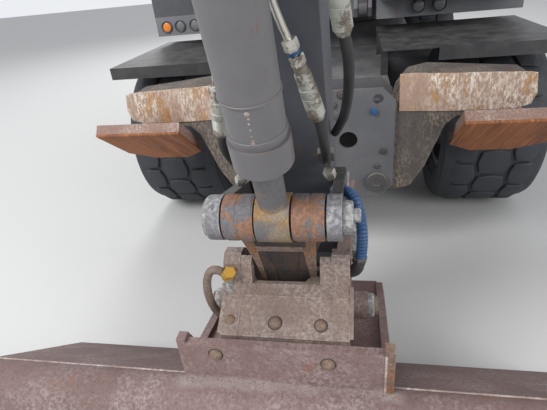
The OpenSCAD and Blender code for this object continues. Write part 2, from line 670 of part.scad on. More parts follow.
module door_cut(g) {
    translate([0, upper_half + 10 - g, 0]) rotate([90, 0, 0]) linear_extrude(cab_t + 20 - g)
        polygon([[door_rear_x + g, cab_floor + 60 + g], [door_front_x - g, cab_floor + 60 + g], [door_front_x - g, 1750],
            [door_front_x - 80 - g, 2900 - g], [door_rear_x + g, 2900 - g]]);
}
hinge_r = 12;
hinge_y = upper_half + hinge_r + 2;
hinge_z = [1600, 2500];
module hinge_leaf(x0, x1, z0, h) {
    translate([x0, upper_half - 1, z0]) cube([x1 - x0, hinge_r + 3, h]);
    translate([door_rear_x, hinge_y, z0]) cylinder(r = hinge_r, h = h);
}
module cab_door() {
    color(dark_grey) for (z = hinge_z) hinge_leaf(door_rear_x, door_rear_x + 60, z, 60);
    color(dark_grey) difference() {
        translate([0, upper_half, 0]) rotate([90, 0, 0]) linear_extrude(cab_t)
            polygon([[door_rear_x + 6, cab_floor + 66], [door_front_x - 6, cab_floor + 66], [door_front_x - 6, 1750],
                [door_front_x - 87, 2894], [door_rear_x + 6, 2894]]);
        translate([0, upper_half + 20, 0]) rotate([90, 0, 0]) linear_extrude(cab_t + 40)
            polygon([[door_rear_x + 90, 1900], [door_front_x - 100, 1900], [door_front_x - 160, 2810], [door_rear_x + 90, 2810]]);
    }
}
module door_glass() {
    color(glass_tint) translate([0, upper_half - 20, 0]) rotate([90, 0, 0]) linear_extrude(glass_t)
        polygon([[door_rear_x + 90.3, 1900.3], [door_front_x - 100.3, 1900.3], [door_front_x - 160.3, 2809.7],
            [door_rear_x + 90.3, 2809.7]]);
}
module cab_glass() {
    g = 0.3;
    color(glass_tint) {
        intersection() {
            slab([[cab_front_x - 30, 1700], [cab_front_x - 30 + glass_t, 1700], [cab_front_x - 140 + glass_t, cab_roof_z - 120],
                [cab_front_x - 140, cab_roof_z - 120]], cab_w, cab_mid_y);
            translate([cab_front_x - 300, cab_inner_y + cab_t + 20 + g, 1800 + g])
                cube([400, cab_w - 2 * cab_t - 40 - 2 * g, 1060 - 2 * g]);
        }
        translate([cab_rear_x + 20, cab_inner_y + cab_t + 20 + g, 2000 + g])
            cube([glass_t, cab_w - 2 * cab_t - 40 - 2 * g, 850 - 2 * g]);
        translate([cab_rear_x + 160 + g, cab_inner_y + 20, 1850 + g]) cube([1100 - 2 * g, glass_t, 1010 - 2 * g]);
        translate([cab_rear_x + 120 + g, upper_half - 30, 2000 + g]) cube([250 - 2 * g, glass_t, 860 - 2 * g]);
    }
}
module seat() {
    z0 = cab_floor + cab_t;
    color(tyre_black) {
        translate([100, cab_mid_y - 150, z0]) cube([300, 300, 260]);
        translate([20, cab_mid_y - 250, z0 + 260]) cube([500, 500, 130]);
        translate([-60, cab_mid_y - 240, z0 + 330]) cube([130, 480, 680]);
        for (s = [-1, 1]) translate([60, cab_mid_y + s * 290 - 45, z0 + 260]) cube([400, 90, 260]);
    }
}
module console() {
    z0 = cab_floor + cab_t;
    color(dark_grey) {
        difference() {
            translate([cab_front_x - 420, cab_mid_y - 60, z0]) rotate([0, -20, 0]) {
                translate([0, 0, -40]) cylinder(r = 45, h = 680);
                translate([0, 0, 630]) cylinder(r = 190, h = 30);
            }
            translate([cab_front_x - 700, cab_mid_y - 300, z0 - 199.7]) cube([500, 500, 200]);
        }
        translate([cab_front_x - 300, cab_inner_y + cab_t, z0]) cube([120, 120, 700]);
    }
}

// Arm
pipe_r = 13;
module pipe_pair(u0, u1, v, face) {
    step = (u1 - u0 - 200) / 2;
    for (k = [0, 1]) translate([u0, face + pipe_r + 5, v + k * 42]) rotate([0, 90, 0]) cylinder(r = pipe_r, h = u1 - u0);
    for (i = [0 : 2]) translate([u0 + 80 + i * step, face - 2, v - 24]) cube([40, 2 * pipe_r + 12, 90]);
}
module boom_base() {
    color(steel_grey) difference() {
        union() {
            along(F, M) slab([[-50, -70], [400, -215], [1000, -245], [1700, -225], [base_l - 235, -150],
                [base_l - 235, 135], [base_l - 450, 165], [1000, 165], [300, 145], [-50, 70]], base_w);
            pin_y(F, 125, base_w - 2);
            mirrored() along(F, M) translate([base_l, 0, 0]) slab([[-380, -165], [0, -120], [60, -60], [60, 70], [0, 125],
                [-380, 150]], 30, base_w / 2 - 15);
            mirrored() pin_y(boom_ram_lug, 95, 30, base_w / 2 + 15);
            mirrored() along(F, M) slab([[400, 140], [680, 160], [620, 345], [560, 365], [490, 345]], 25, 64);
            pin_y(adjust_base, pin_r - 8, 150);
            pin_y(M, pin_r, base_w);
            mirrored() along(F, M) pipe_pair(700, base_l - 430, 60, base_w / 2);
        }
        pin_y(F, pin_r + 8 + fit_gap, base_w + 10);
    }
}
module boom_upper() {
    w = base_w - 60 - 2 * side_gap;
    color(steel_grey) difference() {
        union() {
            along(M, T) slab([[-40, -80], [500, -190], [1100, -170], [upper_l - 500, -125], [upper_l - 500, 118],
                [1100, 140], [400, 175], [-40, 80]], w);
            pin_y(M, 150, w - 2);
            mirrored() along(M, T) translate([upper_l, 0, 0]) slab([[-680, -128], [0, -105], [70, -60], [70, 60], [0, 105],
                [-680, 124]], 28, stick_w / 2 + side_gap + 14);
            along(M, T) translate([upper_l, 0, 0]) slab([[-670, -122], [-515, -118], [-515, 112], [-670, 118]],
                stick_w + 2 * side_gap);
            mirrored() along(M, T) slab([[-190, 60], [100, 150], [-40, 375], [-110, 400], [-180, 375]], 25, 64);
            mirrored() along(M, T) slab([[110, 150], [400, 150], [335, 330], [300, 375], [220, 375], [185, 330]], 25, 58);
            mirrored() pin_y(adjust_lug, pin_r - 8, 29, 64);
            pin_y(stick_ram_base, pin_r - 6, 140);
            pin_y(T, pin_r, stick_w + 2 * side_gap + 56);
            mirrored() along(M, T) pipe_pair(430, upper_l - 720, 20, w / 2);
        }
        pin_y(M, pin_r + fit_gap, base_w);
    }
}
module stick() {
    color(steel_grey) difference() {
        union() {
            along(S, T) slab([[-58, 60], [500, 140], [stick_l - 900, 180], [stick_l - 250, 190], [stick_l + 50, 175],
                [stick_l + 360, 80], [stick_l + 480, 10], [stick_l + 500, -80], stick_nose, [stick_l + 300, -170],
                [stick_l - 200, -185], [stick_l - 440, -185], [1200, -165], [560, -130], [-58, -60]], stick_w);
            pin_y(S, 85, stick_w - 2);
            mirrored() along(S, T) translate([stick_l, 0, 0]) slab([[-460, -175], [-120, -180], [-240, -325], [-330, -345],
                [-400, -325]], 28, 60);
            pin_y(bucket_ram_base, pin_r - 6, 140);
            pin_y(Q, link_pin_r, 2 * link_slab_out);
            pin_y(S, pin_r - 4, 2 * coupler_out);
            mirrored() pin_y(stick_lever, pin_r - 6, 20, stick_w / 2);
            mirrored() along(S, T) pipe_pair(1000, stick_l - 620, 40, stick_w / 2);
        }
        pin_y(T, pin_r + fit_gap, stick_w + 10);
        along(S, T) translate([stick_l + 260, -46, -300]) cube([400, 92, 800]);
    }
}
module boom_barrels() {
    len = span(boom_ram_base, boom_ram_lug);
    color(steel_grey) mirrored() translate([0, boom_ram_y, 0]) along(boom_ram_base, boom_ram_lug)
        ram_barrel(boom_ram_r, 40, 900, eye_w, pin_r - 6, 105);
}
module boom_rods() {
    len = span(boom_ram_base, boom_ram_lug);
    color(bright_steel) mirrored() translate([0, boom_ram_y, 0]) along(boom_ram_base, boom_ram_lug)
        ram_rod(40, len, 560, 64, eye_w, pin_r - 6, 100);
}
module adjust_barrel() {
    color(steel_grey) along(adjust_base, adjust_lug)
        ram_barrel(big_ram_r, 45, span(adjust_base, adjust_lug) - 555, 90, pin_r - 8, 110);
}
module adjust_rod() {
    color(bright_steel) along(adjust_base, adjust_lug)
        ram_rod(45, span(adjust_base, adjust_lug), 700, 66, 90, pin_r - 8, 90);
}
module stick_barrel() {
    color(steel_grey) along(stick_ram_base, stick_lever)
        ram_barrel(big_ram_r - 5, 40, 1080, 80, pin_r - 6, 118);
}
module stick_rod() {
    color(bright_steel) along(stick_ram_base, stick_lever)
        ram_rod(40, span(stick_ram_base, stick_lever), 700, 62, 80, pin_r - 6, 80);
}
module bucket_barrel() {
    len = span(bucket_ram_base, R);
    color(steel_grey) along(bucket_ram_base, R)
        ram_barrel(bucket_ram_r, 36, len - 190, 80, pin_r - 6, 122);
}
module bucket_rod() {
    len = span(bucket_ram_base, R);
    color(bright_steel) along(bucket_ram_base, R) {
        translate([260, 0, 0]) rotate([0, 90, 0]) cylinder(r = 36, h = len - 260 - 40);
        pin_y([len, 0], 62, 84);
    }
}
module tipping_links() {
    w = link_slab_out - link_slab_in;
    color(rust_brown) difference() {
        union() {
            mirrored() {
                along(Q, R) slab([[-30, -48], [span(Q, R) + 30, -42], [span(Q, R) + 30, 42], [-30, 48]], w - 4,
                    link_slab_in + w / 2);
                pin_y(Q, 62, w, link_slab_in + w / 2);
                pin_y(R, 58, w, link_slab_in + w / 2);
                pin_y(R, link_pin_r, link_slab_out + 12 - 46, (link_slab_out + 12 + 46) / 2);
            }
        }
        mirrored() pin_y(Q, link_pin_r + fit_gap, w * 3, link_slab_in + w / 2);
    }
}
module h_link() {
    len = span(R, L);
    color(rust_brown) difference() {
        union() {
            mirrored() {
                pin_y(R, 58, link_slab_in - side_gap - 47, (link_slab_in - side_gap + 47) / 2);
                along(R, L) translate([0, 0, -52]) linear_extrude(47)
                    polygon([[0, 49], [0, 118], [62, 118], [150, 92], [270, 74], [len, 74], [len, 34], [250, 34], [130, 52]]);
            }
            along(R, L) slab([[112, -31], [len - 40, -31], [len - 40, -8], [112, -8]], 110);
            along(R, L) slab([[104, -48], [128, -48], [128, -3], [104, -3]], 130);
            pin_y(L, 60, 2 * (link_slab_in - side_gap));
        }
        mirrored() pin_y(R, link_pin_r + fit_gap, 200, 130);
    }
}
module coupler() {
    w = 50;
    d = coupler_depth;
    l = coupler_l;
    color(rust_brown) difference() {
        union() {
            mirrored() along(S, L) slab([[-60, -60], [-30, 70], [40, 92], [150, 76], [320, 80], [l - 60, 130], [l + 10, 190],
                [l + 55, 216], [l + 92, 214], [l + 112, 190], [l + 115, 88], [l + 208, 19], [l + 190, -d], [-60, -d],
                [-95, -85]], w, link_slab_in + w / 2);
            along(S, L) slab([[l + 96, 129], [l + 114, 129], [l + 114, 87], [l + 206, 18], [l + 188, 1 - d], [l + 168, 1 - d],
                [l + 184, 10], [l + 96, 76]], 2 * link_slab_in + 10);
            mirrored() along(S, L) slab([[l + 86, 100], [l + 113, 100], [l + 110, 190], [l + 92, 208], [l + 76, 200]], 36,
                link_slab_in - 14);
            along(S, L) slab([[-58, 1 - d], [l + 170, 1 - d], [l + 170, 18 - d], [-58, 18 - d]], 2 * link_slab_in + 10);
            mirrored() pin_y(L, link_pin_r + 8, 55, coupler_out + 26);
        }
        pin_y(S, pin_r - 4 + fit_gap, 3 * coupler_out);
    }
}

// Grading bucket
heel = S + [707, -90];
n_top = polar(1, 90 + plate_slope);
d_top = polar(1, 180 + plate_slope);
n_floor = polar(1, 90 - floor_slope);
d_floor = polar(1, -floor_slope);
function strip(n, d, r0, r1, s0, s1) = [heel + r0 * n + s0 * d, heel + r1 * n + s0 * d,
    heel + r1 * n + s1 * d, heel + r0 * n + s1 * d];
bracket_half_w = 280;
function weld_line(x, z) = heel + (heel_r - 2) * n_top + [x, z];
function under_coupler(s, d) = local_to(S, coupler_slope, [s, -coupler_depth - 0.3 - d]);
module bucket_shell() {
    polygon(strip(n_top, d_top, heel_r - bucket_t, heel_r, 0, top_plate_l));
    polygon(strip(n_floor, d_floor, heel_r - bucket_t, heel_r, 0, floor_plate_l));
    intersection() {
        translate(heel) difference() {
            circle(r = heel_r);
            circle(r = heel_r - bucket_t);
        }
        polygon([heel, heel + 3 * heel_r * n_top, heel + 3 * heel_r * (n_top + n_floor), heel + 3 * heel_r * n_floor]);
    }
}
module bucket_side() {
    polygon([heel + heel_r * n_top, heel + heel_r * n_top + top_plate_l * d_top,
        heel + (heel_r - 60) * n_top + (top_plate_l + 40) * d_top,
        heel + (heel_r - 60) * n_floor + (floor_plate_l) * d_floor,
        heel + heel_r * n_floor + floor_plate_l * d_floor, heel + heel_r * n_floor, heel]);
    translate(heel) circle(r = heel_r);
}
module bucket() {
    color(rust_brown) {
        translate([0, bucket_w / 2, 0]) rotate([90, 0, 0]) linear_extrude(bucket_w) bucket_shell();
        mirrored() translate([0, bucket_w / 2, 0]) rotate([90, 0, 0]) linear_extrude(bucket_t) bucket_side();
        slab(strip(n_floor, d_floor, heel_r - 1, heel_r + 10, 130, floor_plate_l + 30), bucket_w);
        slab(strip(n_floor, d_floor, heel_r - 26, heel_r, floor_plate_l - 60, floor_plate_l + 30), bucket_w);
        slab([weld_line(0, -4), weld_line(25, 2), weld_line(25, 158), weld_line(0, 158)], 2 * bracket_half_w - 10);
        slab([under_coupler(100, 0), under_coupler(coupler_l + 195, 0), under_coupler(coupler_l + 195, 20),
            under_coupler(100, 20)], 2 * bracket_half_w - 10);
        slab([under_coupler(180, 10), under_coupler(205, 10), heel + (heel_r - 8) * n_top + (top_plate_l - 110) * d_top,
            heel + (heel_r - 8) * n_top + (top_plate_l - 80) * d_top], 2 * bracket_half_w - 10);
        mirrored() slab([weld_line(24, 0), weld_line(24, 170), weld_line(-8, 170), under_coupler(coupler_l + 130, -20),
            under_coupler(220, -20), under_coupler(110, 0), heel + (heel_r - 4) * n_top + (top_plate_l - 60) * d_top,
            weld_line(0, -4)], 25, bracket_half_w + 3);
    }
}

at_origin() chassis_frame();
at_origin() slew_ring_lower();
at_origin() rear_axle();
at_origin() steer_axle();
at_origin() knuckle(1);  // knuckle_left
at_origin() knuckle(-1);  // knuckle_right
at_origin() tyre_at(axle_x, 1);  // tyre_rear_left
at_origin() tyre_at(axle_x, -1);  // tyre_rear_right
at_origin() tyre_at(-axle_x, 1);  // tyre_steer_left
at_origin() tyre_at(-axle_x, -1);  // tyre_steer_right
at_origin() rear_rim(1);  // rim_rear_left
at_origin() rear_rim(-1);  // rim_rear_right
at_origin() steer_rim(1);  // rim_steer_left
at_origin() steer_rim(-1);  // rim_steer_right
at_origin() driveline();
at_origin() mudguards();
at_origin() steps();
at_origin() leg(1);  // leg_left
at_origin() leg(-1);  // leg_right
at_origin() yoke(1);  // yoke_left
at_origin() yoke(-1);  // yoke_right
at_origin() pad(1);  // pad_left
at_origin() pad(-1);  // pad_right
at_origin() leg_barrel(1);  // leg_barrel_left
at_origin() leg_barrel(-1);  // leg_barrel_right
at_origin() leg_rod(1);  // leg_rod_left
at_origin() leg_rod(-1);  // leg_rod_right
at_origin() blade();
at_origin() blade_barrels();
at_origin() blade_rods();
at_origin() slew_ring_upper();
at_origin() deck();
at_origin() counterweight();
at_origin() housing();
at_origin() hood();
at_origin() side_door(1);  // side_door_left
at_origin() side_door(-1);  // side_door_right
at_origin() engine();
at_origin() tank_box();
at_origin() cab_frame();
at_origin() cab_glass();
at_origin() cab_door();
at_origin() door_glass();
at_origin() seat();
at_origin() console();
at_origin() boom_base();
at_origin() boom_barrels();
at_origin() boom_rods();
at_origin() boom_upper();
at_origin() adjust_barrel();
at_origin() adjust_rod();
at_origin() stick();
at_origin() stick_barrel();
at_origin() stick_rod();
at_origin() bucket_barrel();
at_origin() bucket_rod();
at_origin() tipping_links();
at_origin() h_link();
at_origin() coupler();
at_origin() bucket();
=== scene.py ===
import bpy
import bmesh
import math
import random
from mathutils import Matrix, Vector


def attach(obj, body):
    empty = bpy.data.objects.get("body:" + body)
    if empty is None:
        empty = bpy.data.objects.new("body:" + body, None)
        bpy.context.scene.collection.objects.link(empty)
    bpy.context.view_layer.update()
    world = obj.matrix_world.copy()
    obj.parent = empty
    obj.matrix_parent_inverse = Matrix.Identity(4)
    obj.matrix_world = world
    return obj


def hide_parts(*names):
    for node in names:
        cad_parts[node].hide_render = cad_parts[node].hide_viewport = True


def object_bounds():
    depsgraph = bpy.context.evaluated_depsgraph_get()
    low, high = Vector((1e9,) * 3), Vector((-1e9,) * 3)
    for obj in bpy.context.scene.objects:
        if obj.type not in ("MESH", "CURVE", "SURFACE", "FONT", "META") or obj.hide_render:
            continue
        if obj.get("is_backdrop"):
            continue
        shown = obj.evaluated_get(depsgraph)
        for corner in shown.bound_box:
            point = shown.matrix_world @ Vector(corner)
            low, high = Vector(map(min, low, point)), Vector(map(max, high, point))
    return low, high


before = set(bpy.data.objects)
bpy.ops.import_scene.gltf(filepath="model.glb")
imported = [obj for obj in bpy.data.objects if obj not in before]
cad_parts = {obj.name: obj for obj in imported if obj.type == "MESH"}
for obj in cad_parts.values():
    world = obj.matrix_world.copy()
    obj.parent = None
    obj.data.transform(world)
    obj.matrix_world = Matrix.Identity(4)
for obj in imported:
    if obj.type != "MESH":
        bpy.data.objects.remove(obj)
cad_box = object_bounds()

# Places on the machine

ORIGIN_X = 0.8387
SIDEWAYS = Vector((0, 1, 0))
UPWARDS = Vector((0, 0, 1))
FORWARDS = Vector((1, 0, 0))
SIDES = ((1, "left"), (-1, "right"))

# Pins in the plane of the machine, in millimetres about the slewing axis
STICK_TIP = (2890.0, 530.0)
STICK_TOP = (3750.1, 2770.6)
TIPPING_PIN = (3044.8, 877.6)
EYE_PIN = (3460.2, 999.8)
FRONT_PIN = (3330.0, 606.0)
CYLINDER_TOP = (3897.9, 2360.4)
BUCKET_HEEL = (3597.0, 440.0)
BRACKET_FOOT = (3578.0, 500.0)
WHEEL_X = 1400.0
WHEEL_Y = 980.0
WHEEL_Z = 530.0
TYRE_RADIUS = 530.0
LUG_DEPTH = 18.0


def spot(x, y, z):
    """A point given in metres about the slewing axis, moved into the frame of the model."""
    return Vector((x - ORIGIN_X, y, z))


def mm(x, y, z):
    """A point given in millimetres about the slewing axis."""
    return spot(x / 1000.0, y / 1000.0, z / 1000.0)


def bearing(start, slope):
    """Places along a line that leaves a pin at a slope, across it and beside it, in millimetres."""
    cos, sin = math.cos(slope), math.sin(slope)

    def place(u, v, y):
        return mm(start[0] + u * cos - v * sin, y, start[1] + u * sin + v * cos)

    place.along = Vector((cos, 0, sin))
    place.across = Vector((-sin, 0, cos))
    return place


def member(start, end):
    """Places along, across and beside a member of the arm that runs from pin to pin."""
    return bearing(start, math.atan2(end[1] - start[1], end[0] - start[0]))


def at_pin(pin, y, ahead=0, above=0):
    return mm(pin[0] + ahead, y, pin[1] + above)


def places(place, rows):
    return [place(*row) for row in rows]


on_stick = member(STICK_TIP, STICK_TOP)
on_coupler = member(STICK_TIP, FRONT_PIN)
on_link = member(EYE_PIN, FRONT_PIN)
on_cylinder = member(EYE_PIN, CYLINDER_TOP)

# Camera, floor and light

SENSOR_MM = 36.0
PICTURE_PX = 547.0
FOCAL_PX = 430.0
CAMERA_AT = (4.363, 0.197, 1.544)
YAW, PITCH, ROLL = 0.2169, 0.5034, -0.1079
FLOOR_REACH = 30.0
FLOOR_GREY = (0.62, 0.62, 0.61)
SKY_COLOUR = (0.93, 0.95, 1.0)
LAMP_SIZE = 4.0
LAMPS = (
    ("key_lamp", (7.0, -4.5, 7.0), (1.6, 0.0, 0.9), 620),
    ("fill_lamp", (6.5, 6.0, 4.0), (1.6, 0.0, 0.9), 260),
    ("back_lamp", (-7.0, -3.0, 7.0), (-0.5, 0.0, 1.5), 420),
)


def placed(name, data):
    """A new object with this data, in the scene's own collection."""
    made = bpy.data.objects.new(name, data)
    bpy.context.scene.collection.objects.link(made)
    return made


def add_camera():
    """The photograph's camera: a level heading, then pitched down, then rolled."""
    heading = Vector((-math.cos(YAW), -math.sin(YAW), 0))
    forward = heading * math.cos(PITCH) + Vector((0, 0, -math.sin(PITCH)))
    right = forward.cross(UPWARDS).normalized()
    up = right.cross(forward)
    turned_right = right * math.cos(ROLL) + up * math.sin(ROLL)
    turned_up = up * math.cos(ROLL) - right * math.sin(ROLL)
    camera = placed("camera", bpy.data.cameras.new("camera"))
    basis = Matrix((turned_right, turned_up, -forward)).transposed().to_4x4()
    camera.matrix_world = Matrix.Translation(spot(*CAMERA_AT)) @ basis
    camera.data.sensor_width = SENSOR_MM
    camera.data.lens = SENSOR_MM * FOCAL_PX / PICTURE_PX
    camera.data.clip_start = 0.02
    camera.data.clip_end = 100.0
    bpy.context.scene.camera = camera


class Nodes:
    """Adds nodes to one tree. A value is a number, a tuple, or the socket that feeds it."""

    def __init__(self, tree):
        self.tree = tree

    def feed(self, socket, value):
        if isinstance(value, bpy.types.NodeSocket):
            self.tree.links.new(value, socket)
        elif isinstance(value, tuple) and len(value) == 3 and socket.type == "RGBA":
            socket.default_value = (*value, 1)
        else:
            socket.default_value = value

    def new(self, kind, **values):
        """A node of this kind; each value goes to the input of its name."""
        node = self.tree.nodes.new(kind)
        for label, value in values.items():
            self.feed(node.inputs[label], value)
        return node

    def calc(self, operation, a, b=0.0, clamp=False):
        node = self.new("ShaderNodeMath")
        node.operation = operation
        node.use_clamp = clamp
        self.feed(node.inputs[0], a)
        self.feed(node.inputs[1], b)
        return node.outputs[0]

    def times(self, a, b, clamp=False):
        return self.calc("MULTIPLY", a, b, clamp)

    def plus(self, a, b):
        return self.calc("ADD", a, b)

    def minus(self, a, b):
        return self.calc("SUBTRACT", a, b)

    def scaled(self, vector, by):
        node = self.new("ShaderNodeVectorMath")
        node.operation = "SCALE"
        self.feed(node.inputs[0], vector)
        self.feed(node.inputs["Scale"], by)
        return node.outputs[0]

    def vector(self, operation, a, b=(0, 0, 0)):
        node = self.new("ShaderNodeVectorMath")
        node.operation = operation
        self.feed(node.inputs[0], a)
        self.feed(node.inputs[1], b)
        return node.outputs

    def flat_distance(self, place, pin):
        """How far a place is from a pin, seen along the pin."""
        offset = self.vector("SUBTRACT", place, tuple(at_pin(pin, 0)))[0]
        return self.vector("LENGTH", self.vector("MULTIPLY", offset, (1, 0, 1))[0])["Value"]

    def noise(self, vector, scale, detail=6.0, rough=0.6):
        node = self.new("ShaderNodeTexNoise", Vector=vector, Scale=scale, Detail=detail, Roughness=rough)
        return node.outputs["Fac"]

    def between(self, value, low, high):
        """A smooth step from 0 at the low value to 1 at the high one."""
        node = self.new("ShaderNodeMapRange", **{"Value": value, "From Min": low, "From Max": high})
        node.interpolation_type = "SMOOTHSTEP"
        return node.outputs["Result"]

    def spread(self, value, low, high):
        """Spreads a value from 0 to 1 over the range from low to high."""
        node = self.new("ShaderNodeMapRange", **{"Value": value, "To Min": low, "To Max": high})
        return node.outputs["Result"]

    def mix(self, factor, a, b):
        node = self.new("ShaderNodeMix")
        node.data_type = "RGBA"
        for index, value in ((0, factor), (6, a), (7, b)):
            self.feed(node.inputs[index], value)
        return node.outputs[2]

    def stretched(self, vector, scale):
        return self.new("ShaderNodeMapping", Vector=vector, Scale=scale).outputs["Vector"]

    def use(self, name, **values):
        """The outputs of a shared group."""
        node = self.tree.nodes.new("ShaderNodeGroup")
        node.node_tree = GROUPS[name]
        for label, value in values.items():
            self.feed(node.inputs[label], value)
        return node.outputs


def build_stage():
    """Pale floor, soft key and fill lamps, and a pale sky that the camera and gloss see."""
    mesh = bpy.data.meshes.new("floor")
    corners = [(FLOOR_REACH * x, FLOOR_REACH * y, -0.002) for x, y in ((-1, -1), (1, -1), (1, 1), (-1, 1))]
    mesh.from_pydata(corners, [], [(0, 1, 2, 3)])
    floor = placed("floor", mesh)
    material = bpy.data.materials.new("floor_paint")
    material.use_nodes = True
    shader = material.node_tree.nodes["Principled BSDF"]
    shader.inputs["Base Color"].default_value = (*FLOOR_GREY, 1)
    shader.inputs["Roughness"].default_value = 0.9
    mesh.materials.append(material)
    floor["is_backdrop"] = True
    for name, at, aim, power in LAMPS:
        lamp = placed(name, bpy.data.lights.new(name, "AREA"))
        lamp.data.shape = "DISK"
        lamp.data.size = LAMP_SIZE
        lamp.data.energy = power
        lamp.location = at
        lamp.rotation_mode = "QUATERNION"
        lamp.rotation_quaternion = (Vector(aim) - Vector(at)).to_track_quat("-Z", "Y")
    world = bpy.data.worlds.new("soft_sky")
    bpy.context.scene.world = world
    world.use_nodes = True
    world.node_tree.nodes.clear()
    nodes = Nodes(world.node_tree)
    ray = nodes.new("ShaderNodeLightPath").outputs
    seen = nodes.calc("MAXIMUM", ray["Is Camera Ray"], ray["Is Glossy Ray"])
    seen = nodes.calc("MAXIMUM", seen, ray["Is Transmission Ray"])
    sky = nodes.new("ShaderNodeBackground", Color=SKY_COLOUR, Strength=nodes.spread(seen, 0.62, 0.9))
    nodes.new("ShaderNodeOutputWorld", Surface=sky.outputs[0])


add_camera()
bpy.context.scene.view_settings.view_transform = "Standard"
build_stage()

# Node groups shared by the finishes


def new_group(name, inputs, outputs):
    """A shader group; an input without a value is a vector, else its value tells its kind."""
    group = bpy.data.node_groups.new(name, "ShaderNodeTree")
    for label, value in inputs.items():
        kind = "Vector" if value is None else "Color" if isinstance(value, tuple) else "Float"
        socket = group.interface.new_socket(label, in_out="INPUT", socket_type="NodeSocket" + kind)
        if value is not None:
            socket.default_value = value
    for label in outputs:
        kind = "Color" if label == "Color" else "Float"
        group.interface.new_socket(label, in_out="OUTPUT", socket_type="NodeSocket" + kind)
    nodes = Nodes(group)
    return nodes, nodes.new("NodeGroupInput").outputs, nodes.new("NodeGroupOutput").inputs

PATCH_DARK = (0.06, 0.03, 0.02, 1)
PATCH_BRIGHT = (0.36, 0.12, 0.04, 1)


def group_patches():
    """Patches of rust: where they are and their colour, from dark brown to orange."""
    inputs = {"Vector": None, "Scale": 6.0, "Share": 0.4, "Dark": PATCH_DARK, "Bright": PATCH_BRIGHT}
    nodes, given, result = new_group("rust_patches", inputs, ("Mask", "Color"))
    big = nodes.noise(given["Vector"], given["Scale"], 8.0, 0.68)
    fine = nodes.noise(given["Vector"], nodes.times(given["Scale"], 9.0), 5.0, 0.7)
    both = nodes.plus(nodes.times(big, 0.75), nodes.times(fine, 0.25))
    low = nodes.minus(0.72, nodes.times(given["Share"], 0.44))
    nodes.feed(result["Mask"], nodes.between(both, low, nodes.plus(low, 0.05)))
    tone = nodes.between(fine, 0.35, 0.68)
    nodes.feed(result["Color"], nodes.mix(tone, given["Dark"], given["Bright"]))
    return nodes.tree


def group_drift():
    """Slow change of a colour's lightness over the surface."""
    inputs = {"Vector": None, "Scale": 2.0, "Amount": 0.3, "Color": (0.5, 0.5, 0.5, 1)}
    nodes, given, result = new_group("colour_drift", inputs, ("Color",))
    wide = nodes.noise(given["Vector"], given["Scale"], 5.0, 0.6)
    fine = nodes.noise(given["Vector"], nodes.times(given["Scale"], 14.0), 3.0, 0.6)
    both = nodes.plus(nodes.times(wide, 0.7), nodes.times(fine, 0.3))
    swing = nodes.times(nodes.minus(both, 0.5), nodes.times(given["Amount"], 4.0))
    nodes.feed(result["Color"], nodes.scaled(given["Color"], nodes.plus(swing, 1.0)))
    return nodes.tree


def group_edges():
    """Worn edges, found from the rounding of the surface and broken up by noise."""
    nodes, given, result = new_group("worn_edges", {"Vector": None, "Radius": 0.008, "Amount": 0.5}, ("Mask",))
    bevel = nodes.new("ShaderNodeBevel", Radius=given["Radius"])
    bevel.samples = 4
    straight = nodes.new("ShaderNodeNewGeometry").outputs["Normal"]
    bend = nodes.minus(1.0, nodes.vector("DOT_PRODUCT", bevel.outputs["Normal"], straight)["Value"])
    rough = nodes.between(nodes.noise(given["Vector"], 26.0, 6.0, 0.7), 0.4, 0.6)
    shaped = nodes.times(nodes.between(bend, 0.01, 0.12), rough)
    nodes.feed(result["Mask"], nodes.times(shaped, given["Amount"], True))
    return nodes.tree


def group_dust():
    """Dust that settles on faces that look up, with noise in it."""
    nodes, given, result = new_group("settled_dust", {"Vector": None, "Amount": 0.4, "Scale": 5.0}, ("Mask",))
    normal = nodes.new("ShaderNodeNewGeometry").outputs["Normal"]
    up = nodes.between(nodes.new("ShaderNodeSeparateXYZ", Vector=normal).outputs["Z"], -0.2, 0.9)
    cloud = nodes.between(nodes.noise(given["Vector"], given["Scale"], 8.0, 0.7), 0.38, 0.66)
    shaped = nodes.times(nodes.plus(nodes.times(up, 0.75), 0.25), cloud)
    nodes.feed(result["Mask"], nodes.times(shaped, given["Amount"], True))
    return nodes.tree


def group_marks():
    """Long thin marks along one direction, for runs of water."""
    nodes, given, result = new_group("long_marks", {"Vector": None, "Share": 0.3, "Softness": 0.05}, ("Mask",))
    low = nodes.minus(0.68, nodes.times(given["Share"], 0.36))
    high = nodes.plus(low, given["Softness"])
    nodes.feed(result["Mask"], nodes.between(nodes.noise(given["Vector"], 1.0, 4.0, 0.6), low, high))
    return nodes.tree


GROUPS = {
    "patches": group_patches(),
    "drift": group_drift(),
    "edges": group_edges(),
    "dust": group_dust(),
    "marks": group_marks(),
}

# Finishes

RUN_STRETCH = (34.0, 34.0, 2.2)
RUN_BROWN = (0.17, 0.08, 0.04)
PAINT_DUST = (0.36, 0.33, 0.29)
PLASTIC_DUST = (0.3, 0.28, 0.25)
GLASS_DUST = (0.5, 0.49, 0.46)
GLASS_TINT = (0.75, 0.82, 0.82)
GLASS_INDEX = 1.45
DUST_REACH = 0.036


def shade(colour, by):
    return tuple(min(1.0, by * c) for c in colour)


def new_finish(name):
    material = bpy.data.materials.new(name)
    material.use_nodes = True
    nodes = Nodes(material.node_tree)
    place = nodes.new("ShaderNodeTexCoord").outputs["Object"]
    return material, nodes, nodes.tree.nodes["Principled BSDF"].inputs, place


